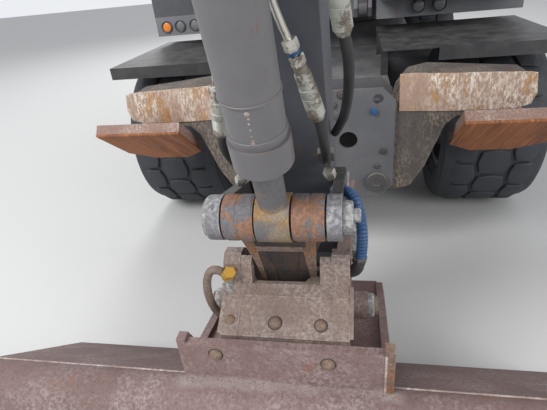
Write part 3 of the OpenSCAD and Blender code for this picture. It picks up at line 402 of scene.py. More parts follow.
def surface(nodes, shader, place, colour, rough, scale, depth, pits=None):
    """Feeds the shader its colour, and its roughness and relief from one grain; pits sink the relief."""
    nodes.feed(shader["Base Color"], colour)
    grain = nodes.noise(place, scale, 8.0, 0.65)
    nodes.feed(shader["Roughness"], nodes.spread(grain, *rough))
    height = grain if pits is None else nodes.plus(grain, nodes.times(pits, -0.8))
    bump = nodes.new("ShaderNodeBump", Strength=0.5, Distance=depth, Height=height)
    nodes.feed(shader["Normal"], bump.outputs["Normal"])


def painted(name, colour, rust, dust, edges, drips=0.0, rust_scale=5.0, under=(0.2, 0.1, 0.06)):
    """Paint over steel, with rust patches, worn edges, settled dust and runs of rusty water."""
    material, nodes, shader, place = new_finish(name)
    coat = nodes.use("drift", Vector=place, Scale=1.7, Amount=0.12, Color=colour)["Color"]
    spots = nodes.use("patches", Vector=place, Scale=rust_scale, Share=rust)
    body = nodes.mix(spots["Mask"], coat, spots["Color"])
    if drips:
        runs = nodes.use("marks", Vector=nodes.stretched(place, RUN_STRETCH), Share=drips, Softness=0.07)["Mask"]
        body = nodes.mix(nodes.times(runs, 0.65), body, RUN_BROWN)
    body = nodes.mix(nodes.use("edges", Vector=place, Radius=0.007, Amount=edges)["Mask"], body, under)
    body = nodes.mix(nodes.use("dust", Vector=place, Amount=dust, Scale=4.0)["Mask"], body, PAINT_DUST)
    surface(nodes, shader, place, body, (0.38, 0.62), 60.0, 0.0015, spots["Mask"])
    return material


def worn_steel(name, base, dark, pale, rust, film, rust_share, rust_size, speckle, edge=0.45, along=(1.0, 1.0, 1.0),
               rough=(0.55, 0.85), depth=0.0016, edge_colour=None, far_reach=0.0, far_paint_and_shade=None, dust_line=None):
    """Worn steel with a fine grain, a pale film and soft rust, which has its own colour away from the eye pin: real
    paint on the rod eye, painted shade on the H-link.
    """
    material, nodes, shader, place = new_finish(name)
    run = nodes.stretched(place, along)
    grain = nodes.noise(run, 170.0, 5.0, 0.75)
    cloud = nodes.between(nodes.noise(run, 6.5, 7.0, 0.65), 0.36, 0.66)
    dots = nodes.between(nodes.noise(run, 95.0, 4.0, 0.7), 0.4, 0.64)
    body = nodes.use("drift", Vector=run, Scale=3.0, Amount=0.2, Color=base)["Color"]
    body = nodes.mix(nodes.times(nodes.between(grain, 0.45, 0.62), speckle), body, dark)
    body = nodes.mix(nodes.times(nodes.times(cloud, dots), film), body, pale)
    spots = nodes.use("patches", Vector=run, Scale=rust_size, Share=rust_share, Dark=shade(rust, 0.5), Bright=rust)
    body = nodes.mix(nodes.times(spots["Mask"], 0.75), body, spots["Color"])
    # Away from the eye pin the far colour takes over: grey paint on the rod eye's neck, painted shade on the H-link's
    # front plate.
    if far_paint_and_shade:
        wobble = nodes.times(nodes.minus(cloud, 0.5), 0.02)
        reach = nodes.plus(nodes.flat_distance(place, EYE_PIN), wobble)
        other = nodes.mix(nodes.times(dots, 0.2), far_paint_and_shade, shade(far_paint_and_shade, 1.9))
        other = nodes.mix(nodes.times(spots["Mask"], 0.1), other, spots["Color"])
        body = nodes.mix(nodes.between(reach, far_reach, far_reach + 0.012), body, other)
    if dust_line:
        wobble = nodes.times(nodes.minus(cloud, 0.5), 0.022)
        reach = nodes.plus(nodes.flat_distance(place, BRACKET_FOOT), wobble)
        from_middle = nodes.calc("ABSOLUTE", nodes.new("ShaderNodeSeparateXYZ", Vector=place).outputs["Y"])
        inside = nodes.minus(1.0, nodes.between(reach, DUST_REACH * 0.35, DUST_REACH))
        inside = nodes.times(inside, nodes.minus(1.0, nodes.between(from_middle, 0.28, 0.34)))
        inside = nodes.times(inside, nodes.between(grain, 0.34, 0.58))
        body = nodes.mix(nodes.times(inside, 0.6), body, dust_line)
    rim = nodes.use("edges", Vector=place, Radius=0.005, Amount=edge)["Mask"]
    body = nodes.mix(rim, body, edge_colour or shade(pale, 1.4))
    surface(nodes, shader, place, body, rough, 110.0, depth, spots["Mask"])
    return material


def streaked(name, base, bright, dark, turn):
    """The worn sole of a pad: fine scores all running one way."""
    material, nodes, shader, place = new_finish(name)
    node = nodes.new("ShaderNodeMapping", Vector=place, Rotation=(0, turn, 0))
    node.vector_type = "TEXTURE"
    turned = node.outputs["Vector"]
    lines = nodes.noise(nodes.stretched(turned, (2.2, 85.0, 20.0)), 1.0, 5.0, 0.65)
    broad = nodes.noise(nodes.stretched(turned, (2.0, 9.0, 9.0)), 1.0, 4.0, 0.6)
    body = nodes.use("drift", Vector=place, Scale=5.0, Amount=0.12, Color=base)["Color"]
    body = nodes.mix(nodes.between(broad, 0.42, 0.62), body, dark)
    body = nodes.mix(nodes.times(nodes.between(lines, 0.52, 0.62), 0.85), body, bright)
    surface(nodes, shader, place, body, (0.6, 0.85), 90.0, 0.001, lines)
    return material


def plain_metal(name, colour, rough, dirt, scale=40.0, dirt_colour=(0.12, 0.1, 0.08), metallic=0.9):
    """Bright or plated metal with a little dirt."""
    material, nodes, shader, place = new_finish(name)
    coat = nodes.use("drift", Vector=place, Scale=6.0, Amount=0.1, Color=colour)["Color"]
    grime = nodes.use("patches", Vector=place, Scale=14.0, Share=dirt, Dark=dirt_colour, Bright=shade(dirt_colour, 1.8))
    shader["Metallic"].default_value = metallic
    body = nodes.mix(grime["Mask"], coat, grime["Color"])
    surface(nodes, shader, place, body, rough, scale, 0.0006, grime["Mask"])
    return material


def moulded(name, colour, rough, scale, depth, dust):
    """Rubber, plastic or cloth: an even colour with fine grain and a film of dust."""
    material, nodes, shader, place = new_finish(name)
    coat = nodes.use("drift", Vector=place, Scale=3.0, Amount=0.15, Color=colour)["Color"]
    film = nodes.use("dust", Vector=place, Amount=dust, Scale=9.0)["Mask"]
    surface(nodes, shader, place, nodes.mix(film, coat, PLASTIC_DUST), rough, scale, depth)
    return material


def tinted_glass(name):
    material, nodes, shader, place = new_finish(name)
    film = nodes.use("dust", Vector=place, Amount=0.25, Scale=3.0)["Mask"]
    shader["Transmission Weight"].default_value = 0.9
    shader["IOR"].default_value = GLASS_INDEX
    surface(nodes, shader, place, nodes.mix(film, GLASS_TINT, GLASS_DUST), (0.02, 0.08), 20.0, 0.0001)
    return material


# Paints: colour, rust, dust, worn edges, runs, size of the rust, what shows at the edges
PAINTS = {
    "cylinder_paint": ((0.13, 0.126, 0.134), 0.06, 0.12, 0.35, 0.1, 7.0),
    "boom_paint": ((0.075, 0.082, 0.098), 0.06, 0.22, 0.4, 0.12),
    "chassis_paint": ((0.105, 0.108, 0.118), 0.12, 0.35, 0.55, 0.14),
    "cab_paint": ((0.06, 0.064, 0.072), 0.03, 0.22, 0.25),
    "body_paint": ((0.62, 0.33, 0.02), 0.05, 0.2, 0.35, 0.0, 5.0, (0.25, 0.16, 0.08)),
    # The deck's paint is the chassis paint made lighter: painted light on the deck.
    "deck_paint": ((0.15, 0.155, 0.172), 0.08, 0.35, 0.5, 0.1),
    "cast_dark": ((0.045, 0.045, 0.048), 0.2, 0.4, 0.3),
}
# Steels: base, dark grain, pale film, rust, then how much film, share and size of the rust, speckle, worn edges
STEELS = {
    "leg_steel": (
        (0.095, 0.078, 0.07), (0.04, 0.036, 0.036), (0.4, 0.33, 0.24), (0.2, 0.09, 0.045),
        0.6, 0.35, 10.0, 0.65, 0.25,
    ),
    "pad_steel": (
        (0.3, 0.185, 0.145), (0.17, 0.09, 0.065), (0.56, 0.46, 0.4), (0.36, 0.15, 0.08),
        0.7, 0.35, 10.0, 0.5, 0.25,
    ),
    # A paler copy of the leg steel for the front bands: its pale film and lightness are painted sky light on the leg's
    # upward face; its rust patches are real.
    "leg_band": (
        (0.4, 0.27, 0.2), (0.25, 0.15, 0.11), (0.86, 0.78, 0.68), (0.55, 0.28, 0.09),
        1.0, 0.45, 9.0, 0.45, 0.2,
    ),
    "coupler_steel": (
        (0.2, 0.142, 0.12), (0.08, 0.056, 0.048), (0.43, 0.375, 0.34), (0.31, 0.15, 0.085),
        0.6, 0.3, 8.0, 0.6, 0.3,
    ),
    "bucket_steel": (
        (0.19, 0.122, 0.112), (0.085, 0.05, 0.046), (0.4, 0.34, 0.33), (0.27, 0.12, 0.075),
        0.6, 0.32, 8.0, 0.55, 0.3,
    ),
    "link_steel": (
        (0.13, 0.125, 0.13), (0.06, 0.055, 0.055), (0.24, 0.245, 0.27), (0.35, 0.15, 0.065),
        0.6, 0.57, 13.0, 0.5, 0.2,
    ),
    "eye_steel": (
        (0.25, 0.185, 0.11), (0.11, 0.08, 0.06), (0.23, 0.235, 0.26), (0.38, 0.21, 0.065),
        0.75, 0.5, 16.0, 0.55, 0.25,
    ),
    "tipping_steel": (
        (0.15, 0.149, 0.162), (0.08, 0.075, 0.075), (0.52, 0.52, 0.52), (0.3, 0.14, 0.06),
        0.6, 0.25, 14.0, 0.5, 0.3,
    ),
    "cap_steel": (
        (0.2, 0.198, 0.2), (0.09, 0.085, 0.08), (0.66, 0.66, 0.64), (0.3, 0.15, 0.07),
        0.8, 0.15, 20.0, 0.45, 0.25,
    ),
    "bolt_steel": (
        (0.24, 0.18, 0.145), (0.11, 0.08, 0.065), (0.42, 0.37, 0.33), (0.33, 0.15, 0.08),
        0.5, 0.45, 30.0, 0.5, 0.1,
    ),
    "bolt_rust": (
        (0.17, 0.115, 0.08), (0.07, 0.045, 0.035), (0.4, 0.33, 0.27), (0.3, 0.13, 0.055),
        0.35, 0.4, 40.0, 0.6, 0.05,
    ),
    "ear_rust": (
        (0.16, 0.1, 0.072), (0.07, 0.045, 0.036), (0.36, 0.28, 0.22), (0.34, 0.145, 0.06),
        0.5, 0.5, 16.0, 0.55, 0.2,
    ),
    "link_orange": (
        (0.36, 0.19, 0.09), (0.18, 0.09, 0.05), (0.5, 0.4, 0.32), (0.46, 0.2, 0.07),
        0.4, 0.5, 20.0, 0.35,
    ),
    "weld_metal": (
        (0.3, 0.22, 0.19), (0.14, 0.09, 0.07), (0.66, 0.6, 0.56), (0.34, 0.17, 0.09),
        0.8, 0.25, 24.0, 0.4,
    ),
    "shackle_steel": (
        (0.17, 0.12, 0.095), (0.08, 0.055, 0.045), (0.34, 0.3, 0.27), (0.28, 0.14, 0.07),
        0.45, 0.35, 20.0, 0.4,
    ),
}
STEEL_EXTRAS = {
    "leg_steel": {"along": (1.0, 1.0, 0.5), "depth": 0.003},
    "leg_band": {"along": (1.0, 1.0, 0.42), "depth": 0.003},
    "bucket_steel": {"edge_colour": (0.42, 0.24, 0.16), "dust_line": (0.5, 0.45, 0.42)},
    # Far colours away from the eye pin: on the H-link a very dark painted shade of its front plate, on the rod eye the
    # grey paint of its neck, on the tipping links a darker colour.
    "link_steel": {"edge_colour": (0.36, 0.17, 0.07), "far_reach": 0.078, "far_paint_and_shade": (0.032, 0.027, 0.026)},
    "eye_steel": {"far_reach": 0.062, "far_paint_and_shade": (0.105, 0.104, 0.11)},
    "tipping_steel": {"far_reach": 0.07, "far_paint_and_shade": (0.05, 0.046, 0.045)},
    "cap_steel": {"rough": (0.4, 0.65)},
    "bolt_steel": {"depth": 0.0006},
    "bolt_rust": {"depth": 0.0006},
    "weld_metal": {"depth": 0.0008},
}
# Bright metals: colour, roughness, dirt, size of the grain, colour of the dirt, how metallic
METALS = {
    "chrome_rod": ((0.62, 0.62, 0.63), (0.12, 0.3), 0.15),
    "zinc": ((0.55, 0.53, 0.48), (0.3, 0.5), 0.4),
    "yellow_zinc": ((0.44, 0.25, 0.035), (0.35, 0.55), 0.45, 60.0, (0.2, 0.12, 0.05), 0.3),
    "cream_metal": ((0.4, 0.4, 0.36), (0.4, 0.6), 0.55, 90.0, (0.13, 0.11, 0.085), 0.3),
    "mirror_glass": ((0.8, 0.82, 0.84), (0.03, 0.09), 0.08, 40.0, (0.12, 0.1, 0.08), 1.0),
}
# Moulded stuff: colour, roughness, size and depth of the grain, dust
MOULDED = {
    "rubber": ((0.034, 0.038, 0.046), (0.6, 0.85), 70.0, 0.0015, 0.1),
    "hose_rubber": ((0.015, 0.015, 0.016), (0.45, 0.65), 140.0, 0.0005, 0.15),
    "hose_blue": ((0.013, 0.07, 0.19), (0.4, 0.6), 90.0, 0.0006, 0.2),
    "plastic": ((0.03, 0.03, 0.032), (0.4, 0.6), 160.0, 0.0005, 0.25),
    "seat_cloth": ((0.035, 0.036, 0.04), (0.7, 0.9), 320.0, 0.0012, 0.05),
    # A near-black finish that stands for the shade in holes, slots and gaps: painted shade.
    "dark_hole": ((0.02, 0.018, 0.017), (0.7, 0.9), 60.0, 0.001, 0.2),
    "lamp_glass": ((0.15, 0.155, 0.16), (0.12, 0.25), 60.0, 0.0004, 0.2),
    "lamp_orange": ((0.75, 0.22, 0.02), (0.2, 0.35), 60.0, 0.0004, 0.2),
    "lamp_red": ((0.45, 0.02, 0.015), (0.2, 0.35), 60.0, 0.0004, 0.2),
}
SOLE_COLOURS = ((0.31, 0.105, 0.035), (0.46, 0.185, 0.07), (0.2, 0.068, 0.026))
PAD_TILT = math.radians(37)

FINISH = {"glass": tinted_glass("glass"), "pad_sole": streaked("pad_sole", *SOLE_COLOURS, -PAD_TILT)}
for make, table in ((painted, PAINTS), (worn_steel, STEELS), (plain_metal, METALS), (moulded, MOULDED)):
    for finish_name, values in table.items():
        FINISH[finish_name] = make(finish_name, *values, **STEEL_EXTRAS.get(finish_name, {}))

# Nodes of the frame by finish; a node takes the longest of these names that its own name starts with
NODES_OF_FINISH = {
    "rubber": "tyre",
    "chassis_paint": "rim leg_barrel steps chassis_frame blade",
    "glass": "cab_glass door_glass",
    "seat_cloth": "seat",
    "plastic": "console mudguards",
    "chrome_rod": "leg_rod blade_rods boom_rods adjust_rod stick_rod",
    "eye_steel": "bucket_rod",
    "leg_steel": "leg yoke",
    "pad_steel": "pad",
    "tipping_steel": "tipping_links",
    "link_steel": "h_link",
    "coupler_steel": "coupler",
    "bucket_steel": "bucket",
    "cylinder_paint": "bucket_barrel blade_barrels boom_barrels adjust_barrel stick_barrel",
    "body_paint": "hood housing side_door",
    "cast_dark": "engine driveline rear_axle steer_axle knuckle slew_ring",
    # The deck gets the lighter copy of the chassis paint: painted light.
    "deck_paint": "deck",
    "cab_paint": "counterweight tank_box cab_frame cab_door",
    "boom_paint": "boom_base boom_upper stick",
}
NODE_FINISH = {node: finish for finish, nodes in NODES_OF_FINISH.items() for node in nodes.split()}


def finish_for(node):
    best = max((k for k in NODE_FINISH if node.startswith(k)), key=len)
    return FINISH[NODE_FINISH[best]]


for node_name, node_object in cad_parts.items():
    for index in range(max(1, len(node_object.data.materials))):
        if node_object.data.materials:
            node_object.data.materials[index] = finish_for(node_name)
        else:
            node_object.data.materials.append(finish_for(node_name))

# Mesh making: points are in metres, and all sizes are in millimetres


def smooth_path(points, per_span=5):
    """Points on one smooth curve through the given ones."""
    points = [Vector(p) for p in points]
    padded = [points[0] * 2 - points[1]] + points + [points[-1] * 2 - points[-2]]
    out = []
    for i in range(1, len(padded) - 2):
        p0, p1, p2, p3 = padded[i - 1 : i + 3]
        for k in range(per_span):
            t = k / per_span
            bend = (2 * p0 - 5 * p1 + 4 * p2 - p3) * t * t + (3 * p1 - p0 - 3 * p2 + p3) * t ** 3
            out.append(0.5 * ((2 * p1) + (p2 - p0) * t + bend))
    out.append(points[-1])
    return out


class Form:
    """Solids collected into one mesh, in the frame of the model."""

    def __init__(self):
        self.bm = bmesh.new()

    def verts(self, points):
        return [self.bm.verts.new(p) for p in points]

    def face(self, verts):
        if len(set(verts)) > 2:
            self.bm.faces.new(verts)

    def wall(self, low, high):
        """Faces from one ring of corners to the next; a ring of one corner is a tip."""
        for k in range(max(len(low), len(high))):
            quad = [low[k % len(low)], low[(k + 1) % len(low)], high[(k + 1) % len(high)], high[k % len(high)]]
            self.face([v for i, v in enumerate(quad) if v not in quad[:i]])

    def loft(self, layers):
        """A solid between layers of points, closed at the first and the last."""
        rings = [self.verts(layer) for layer in layers]
        self.face(rings[0])
        self.face(rings[-1])
        for low, high in zip(rings, rings[1:]):
            self.wall(low, high)
        return self

    def circle(self, centre, side, other, radius, sides):
        turns = [2 * math.pi * k / sides for k in range(sides)]
        r = radius / 1000
        return self.verts([centre + side * (r * math.cos(t)) + other * (r * math.sin(t)) for t in turns])

    def lathe(self, start, axis, profile, sides=32, loop=False):
        """Turns (along, radius) pairs about an axis, and closes both ends, or the loop."""
        axis = Vector(axis).normalized()
        side = axis.orthogonal().normalized()
        other = axis.cross(side)
        if not loop:
            ends = [[(along, 0)] * bool(radius) for along, radius in (profile[0], profile[-1])]
            profile = ends[0] + profile + ends[1]
        rings = []
        for along, radius in profile:
            centre = Vector(start) + axis * (along / 1000)
            rings.append(self.circle(centre, side, other, radius, sides) if radius else self.verts([centre]))
        for low, high in zip(rings, rings[1:] + rings[:1] * loop):
            self.wall(low, high)
        return self

    def box(self, centre, half, axes=(FORWARDS, SIDEWAYS, UPWARDS), round_by=0.0):
        made = bmesh.ops.create_cube(self.bm, size=2.0)["verts"]
        x_axis, y_axis, z_axis = (Vector(a).normalized() for a in axes)
        x, y, z = (h / 1000 for h in half)
        for vert in made:
            c = vert.co.copy()
            vert.co = Vector(centre) + x_axis * (c.x * x) + y_axis * (c.y * y) + z_axis * (c.z * z)
        if round_by:
            self.round_off({e for v in made for e in v.link_edges}, round_by, 0.6)
        return self

    def round_off(self, edges, size, profile):
        bmesh.ops.bevel(
            self.bm, geom=list(edges), offset=size / 1000, segments=2,
            profile=profile, affect="EDGES", clamp_overlap=True,
        )

    def plate(self, outline, place, y0, y1):
        """A flat plate across the machine, its outline along and across a member."""
        return self.loft([[place(u, v, y) for u, v in outline] for y in (y0, y1)])

    def tube(self, points, radius, sides=10):
        """A closed tube along points; radius is a number or a list, one for each point."""
        points = [Vector(p) for p in points]
        radii = radius if isinstance(radius, list) else [radius] * len(points)
        side = (points[1] - points[0]).normalized().orthogonal().normalized()
        rings = []
        for i, point in enumerate(points):
            tangent = (points[min(i + 1, len(points) - 1)] - points[max(i - 1, 0)]).normalized()
            side = (side - tangent * side.dot(tangent)).normalized()
            rings.append(self.circle(point, side, tangent.cross(side), radii[i], sides))
        for low, high in zip(rings, rings[1:]):
            self.wall(low, high)
        self.face(rings[0])
        self.face(rings[-1])
        return self

    def bent(self, place, rows, radius, sides=10, per_span=5):
        """A tube on a smooth curve through places."""
        return self.tube(smooth_path(places(place, rows), per_span), radius, sides)

    def bolt(self, at, axis, across=30, head=14, washer=True):
        """A hexagon head with its chamfer, on a washer."""
        r = across / 2 / math.cos(math.pi / 6)
        low = -2
        if washer:
            self.lathe(at, axis, [(low, r * 1.3), (2, r * 1.3), (3, r * 1.22)], 20)
            low = 2.5
        return self.lathe(at, axis, [(low, r), (head * 0.82, r), (head, r * 0.84)], 6)

    def dome(self, at, axis, radius, height):
        steps = [(height * math.sin(a), radius * math.cos(a)) for a in (0.0, 0.35, 0.7, 1.05, 1.3)]
        return self.lathe(at, axis, [(-3, radius)] + steps + [(height, 0)], 24)

    def mesh(self, name, round_edges=0.0):
        """Closes the form and gives back its mesh."""
        bmesh.ops.remove_doubles(self.bm, verts=self.bm.verts, dist=1e-6)
        if round_edges:
            sharp = [e for e in self.bm.edges if len(e.link_faces) == 2 and e.calc_face_angle(0) > math.radians(30)]
            self.round_off(sharp, round_edges, 0.7)
        bmesh.ops.recalc_face_normals(self.bm, faces=self.bm.faces)
        mesh = bpy.data.meshes.new(name)
        self.bm.to_mesh(mesh)
        self.bm.free()
        return mesh

    def piece(self, name, finish, body, slot=None, round_edges=0.0, crease=35.0):
        return dressed(self.mesh(name, round_edges), name, finish, body, crease)


def dressed(mesh, name, finish, body, crease=35.0):
    """Makes a mesh a piece of the object: its finish, its shading, and the body that carries it."""
    mesh.materials.clear()
    mesh.materials.append(FINISH[finish])
    for polygon in mesh.polygons:
        polygon.use_smooth = True
        polygon.material_index = 0
    mesh.set_sharp_from_angle(angle=math.radians(crease))
    piece = placed(name, mesh)
    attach(piece, body)
    return piece


def on_tool(form, name, finish, round_edges=0.0):
    """A piece that rides on the coupler and the bucket."""
    form.piece(name, finish, "tool", "rusty_steel", round_edges)


# Geometry node trees for what repeats


def repeat_tree(name, kind):
    """Repeats its mesh in a row, by a step, or round an axis, by a turn about a centre."""
    tree = bpy.data.node_groups.new(name, "GeometryNodeTree")
    sockets = {"Shape": "Geometry", "Count": "Int", "Step": "Vector", "Centre": "Vector", "Finish": "Material"}
    for label, kind_of_socket in sockets.items():
        tree.interface.new_socket(label, in_out="INPUT", socket_type="NodeSocket" + kind_of_socket)
    tree.interface.new_socket("Repeated", in_out="OUTPUT", socket_type="NodeSocketGeometry")
    nodes = Nodes(tree)
    given = nodes.new("NodeGroupInput").outputs
    line = nodes.new("GeometryNodeMeshLine")
    line.mode = "OFFSET"
    nodes.feed(line.inputs["Count"], given["Count"])
    nodes.feed(line.inputs["Offset"], given["Step"] if kind == "row" else (0, 0, 0))
    copies = nodes.new("GeometryNodeInstanceOnPoints", Points=line.outputs["Mesh"], Instance=given["Shape"])
    if kind == "round":
        turn = nodes.scaled(given["Step"], nodes.new("GeometryNodeInputIndex").outputs[0])
        nodes.feed(copies.inputs["Rotation"], nodes.new("FunctionNodeEulerToRotation", Euler=turn).outputs[0])
    real = nodes.new("GeometryNodeRealizeInstances", Geometry=copies.outputs["Instances"])
    shift = nodes.new("GeometryNodeTransform", Geometry=real.outputs["Geometry"], Translation=given["Centre"])
    coat = nodes.new("GeometryNodeSetMaterial", Geometry=shift.outputs["Geometry"], Material=given["Finish"])
    nodes.feed(nodes.new("NodeGroupOutput").inputs[0], coat.outputs["Geometry"])
    return tree


REPEAT = {"row": repeat_tree("repeat_in_row", "row"), "round": repeat_tree("repeat_round_axis", "round")}


def repeated(form, kind, count, step, centre, finish):
    """Runs a repeat tree on a form and gives back the plain mesh."""
    mesh = form.mesh("repeat_base")
    holder = placed("repeat_holder", mesh)
    modifier = holder.modifiers.new("repeat", "NODES")
    modifier.node_group = REPEAT[kind]
    sockets = {s.name: s.identifier for s in REPEAT[kind].interface.items_tree if s.in_out == "INPUT"}
    for label, value in (("Count", count), ("Step", step), ("Centre", centre), ("Finish", FINISH[finish])):
        modifier[sockets[label]] = value
    graph = bpy.context.evaluated_depsgraph_get()
    result = bpy.data.meshes.new_from_object(holder.evaluated_get(graph))
    holder.modifiers.remove(modifier)
    bpy.data.objects.remove(holder)
    bpy.data.meshes.remove(mesh)
    return result


# Tyres and wheel nuts

TREAD_BLOCKS = 18
HEXAGON = [
    (-85, -20), (-70, -72), (0, -88), (70, -72), (85, -20), (85, 20), (70, 72), (0, 88), (-70, 72), (-85, 20),
]
SHOULDER = [(-78, -78), (-30, -94), (30, -94), (78, -78), (85, -10), (80, 90), (0, 93), (-80, 90), (-85, -10)]
TREAD_BASE = TYRE_RADIUS - LUG_DEPTH
BEAD = 300
WALL = [
    (-204, BEAD), (-226, BEAD + 12), (-246, BEAD + 30), (-262, BEAD + 55), (-272, BEAD + 60), (-275, BEAD + 70),
    (-272, BEAD + 80), (-283, BEAD + 105), (-288, BEAD + 135), (-289, BEAD + 155), (-283, TREAD_BASE - 45),
    (-272, TREAD_BASE - 35), (-268, TREAD_BASE - 22), (-250, TREAD_BASE - 12), (-220, TREAD_BASE - 4),
    (-100, TREAD_BASE), (0, TREAD_BASE + 1),
]


def tread_block(form, outline, along_shift, across_shift, base):
    """One block of tread, its outline round and across the tyre, bent to the tyre's curve."""
    top = TYRE_RADIUS - 1

    def at(s, t, radius):
        angle = (s + along_shift) / TYRE_RADIUS
        y = t + across_shift
        drop = 0.05 * max(0.0, abs(y) - 200) + 2600 * (max(0.0, abs(y) - 235) / 1000) ** 1.2
        return Vector(((radius - drop) * math.sin(angle), y, (radius - drop) * math.cos(angle))) / 1000

    layers = ((1.0, base), (1.0, top - 6), (0.955, top - 1), (0.86, top))
    rings = [form.verts([at(s * scale, t * scale, radius) for s, t in outline]) for scale, radius in layers]
    rings.append(form.verts([at(0, 0, top)]))
    for low, high in zip(rings, rings[1:]):
        form.wall(low, high)
    form.face(rings[0])


def make_tyre(node, body, centre):
    form = Form().lathe(centre, SIDEWAYS, WALL + [(-a, r) for a, r in reversed(WALL[:-1])], 96, loop=True)
    blocks = Form()
    half_pitch = math.pi * TYRE_RADIUS / TREAD_BLOCKS
    tread_block(blocks, HEXAGON, 0, 0, TREAD_BASE - 4)
    tread_block(blocks, SHOULDER, half_pitch, 190, TREAD_BASE - 16)
    tread_block(blocks, [(-s, -t) for s, t in SHOULDER], half_pitch, -190, TREAD_BASE - 16)
    tread = repeated(blocks, "round", TREAD_BLOCKS, (0, math.radians(20), 0), centre, "rubber")
    form.bm.from_mesh(tread)
    bpy.data.meshes.remove(tread)
    tyre = form.piece(f"tread_{node}", "rubber", body, "tyre", crease=28.0)
    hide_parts(node)


for axle, x in (("rear", WHEEL_X), ("steer", -WHEEL_X)):
    for side, word in SIDES:
        wheel = f"wheel_{axle}_{word}"
        hub = mm(x, side * WHEEL_Y, WHEEL_Z)
        make_tyre(f"tyre_{axle}_{word}", wheel, hub)
        nuts = Form().bolt(Vector((0, side * 0.086, 0.2)), (0, side, 0), 32, 30, washer=False)
        ring = repeated(nuts, "round", 10, (0, math.radians(36), 0), hub, "cast_dark")
        dressed(ring, f"wheel_nuts_{axle}_{word}", "cast_dark", wheel)

# Linkage pins and their caps

eye_caps, heel_caps, arm_caps = Form(), Form(), Form()
eye_bolt, heel_nuts, arm_bolts = Form(), Form(), Form()
boss_rings = Form()
for side in (-1, 1):
    out = SIDEWAYS * side
    flat_cap = [(-2, 57.5), (4, 56), (10, 51), (14, 43), (16, 30)]
    tall_cap = [(-2, 41), (2, 42), (20, 42), (25, 39), (26, 30)]
    eye_caps.lathe(at_pin(EYE_PIN, side * 165.5), out, flat_cap if side < 0 else tall_cap, 44)
    low = at_pin(FRONT_PIN, side * 233.5)
    heel_caps.lathe(low, out, [(-2, 36), (4, 37), (14, 37), (17, 34)], 40)
    heel_nuts.lathe(low + SIDEWAYS * (side * 0.017), out, [(0, 30), (6, 30), (12, 27)], 9)
    arm_caps.lathe(at_pin(STICK_TIP, side * 178), out, [(0, 50), (4, 52), (30, 50), (36, 44)], 40)
    arm_bolts.bolt(at_pin(STICK_TIP, side * 214, 16, 6), out, 30, 20, washer=False)
    arm_caps.lathe(at_pin(TIPPING_PIN, side * 162), out, [(0, 47), (7, 49), (12, 44)], 40)
    arm_bolts.bolt(at_pin(TIPPING_PIN, side * 174, 8, 6), out, 28, 18, washer=False)
    for y, w in ((50, 34), (90, 29)):
        profile = [(0, 50), (0, 58.2), (1.5, 59.4), (w - 1.5, 59.4), (w, 58.2), (w, 50)]
        boss_rings.lathe(at_pin(EYE_PIN, side * y), out, profile, 56, loop=True)
eye_bolt.bolt(at_pin(EYE_PIN, 191, 14, 14), SIDEWAYS, 30, 18, washer=False)
eye_caps.piece("eye_pin_caps", "cap_steel", "tipping_links", "rusty_steel")
eye_bolt.piece("eye_pin_bolt", "cap_steel", "tipping_links", "rusty_steel")
on_tool(heel_caps, "heel_pin_caps", "cap_steel")
on_tool(heel_nuts, "heel_pin_nuts", "bolt_rust")
arm_caps.piece("arm_pin_caps", "cap_steel", "stick", "rusty_steel")
arm_bolts.piece("arm_pin_bolts", "bolt_steel", "stick", "rusty_steel")
boss_rings.piece("link_boss_rings", "link_steel", "h_link", "rusty_steel")

# Rod eye with its grease hole, a dark disc of painted shade; seams, drips and wiper ring of the bucket cylinder

to_lens = Vector((0.72, 0, 0.69))
# The grease hole is a dark disc on the rod eye: painted shade in the hole.
grease_hole = Form().lathe(
    at_pin(EYE_PIN, -2) + to_lens * 0.0634, to_lens, [(-4, 6.2), (0.6, 6.2), (0.8, 5), (0.2, 0)], 24
)
grease_hole.piece("grease_hole", "dark_hole", "bucket_rod", "rusty_steel")
seams = Form()
for at, r, w in ((190, 60.5, 8), (196, 62.5, 5), (272, 62.5, 10), (362, 62.2, 4)):
    profile = [(0, 55), (0, r), (1, r + 1.2), (w - 1, r + 1.2), (w, r), (w, 55)]
    seams.lathe(on_cylinder(at, 0, 0), on_cylinder.along, profile, 64, loop=True)
seams.piece("cylinder_seams", "cylinder_paint", "bucket_barrel", "arm_paint")
drips = Form()
to_lens = Vector((0.93, 0.1, -0.35))
lean = (to_lens - on_cylinder.along * to_lens.dot(on_cylinder.along)).normalized()
left_hand = on_cylinder.along.cross(lean).normalized()
if left_hand.y > 0:
    left_hand = -left_hand
for at, turn, size in (
    (352, 0.05, 5.2), (341, 0.03, 3), (330, 0.05, 2.6), (316, 0.04, 2), (301, 0.05, 2.2), (290, 0.03, 3.6),
    (283, 0.05, 4.6),
):
    way = (lean * math.cos(turn) + left_hand * math.sin(turn)).normalized()
    drips.dome(on_cylinder(at, 0, 0) + way * 0.0603, way, size, 1.2)
drips.piece("paint_drips", "weld_metal", "bucket_barrel", "arm_paint")
gland = [(0, 36), (0, 46), (4, 50), (16, 50), (16, 36)]
wiper_ring = Form().lathe(on_cylinder(176, 0, 0), on_cylinder.along, gland, 48, loop=True)
wiper_ring.piece("rod_wiper_ring", "link_orange", "bucket_barrel", "rusty_steel")


# Weld seams, and dark rings of painted shade in the gaps round bolts, for the coupler and the bucket


def ripples(form, start, end, radius, pitch=6):
    """A weld seam: a tube whose thickness rises and falls like laid metal."""
    shake = random.Random(7)
    count = max(2, int((end - start).length / (pitch / 1000)))
    laid = [start.lerp(end, k / count) for k in range(count + 1)]
    radii = [radius * (0.86 + 0.2 * (k % 2) + shake.uniform(-0.07, 0.07)) for k in range(count + 1)]
    form.tube(laid, radii, 8)


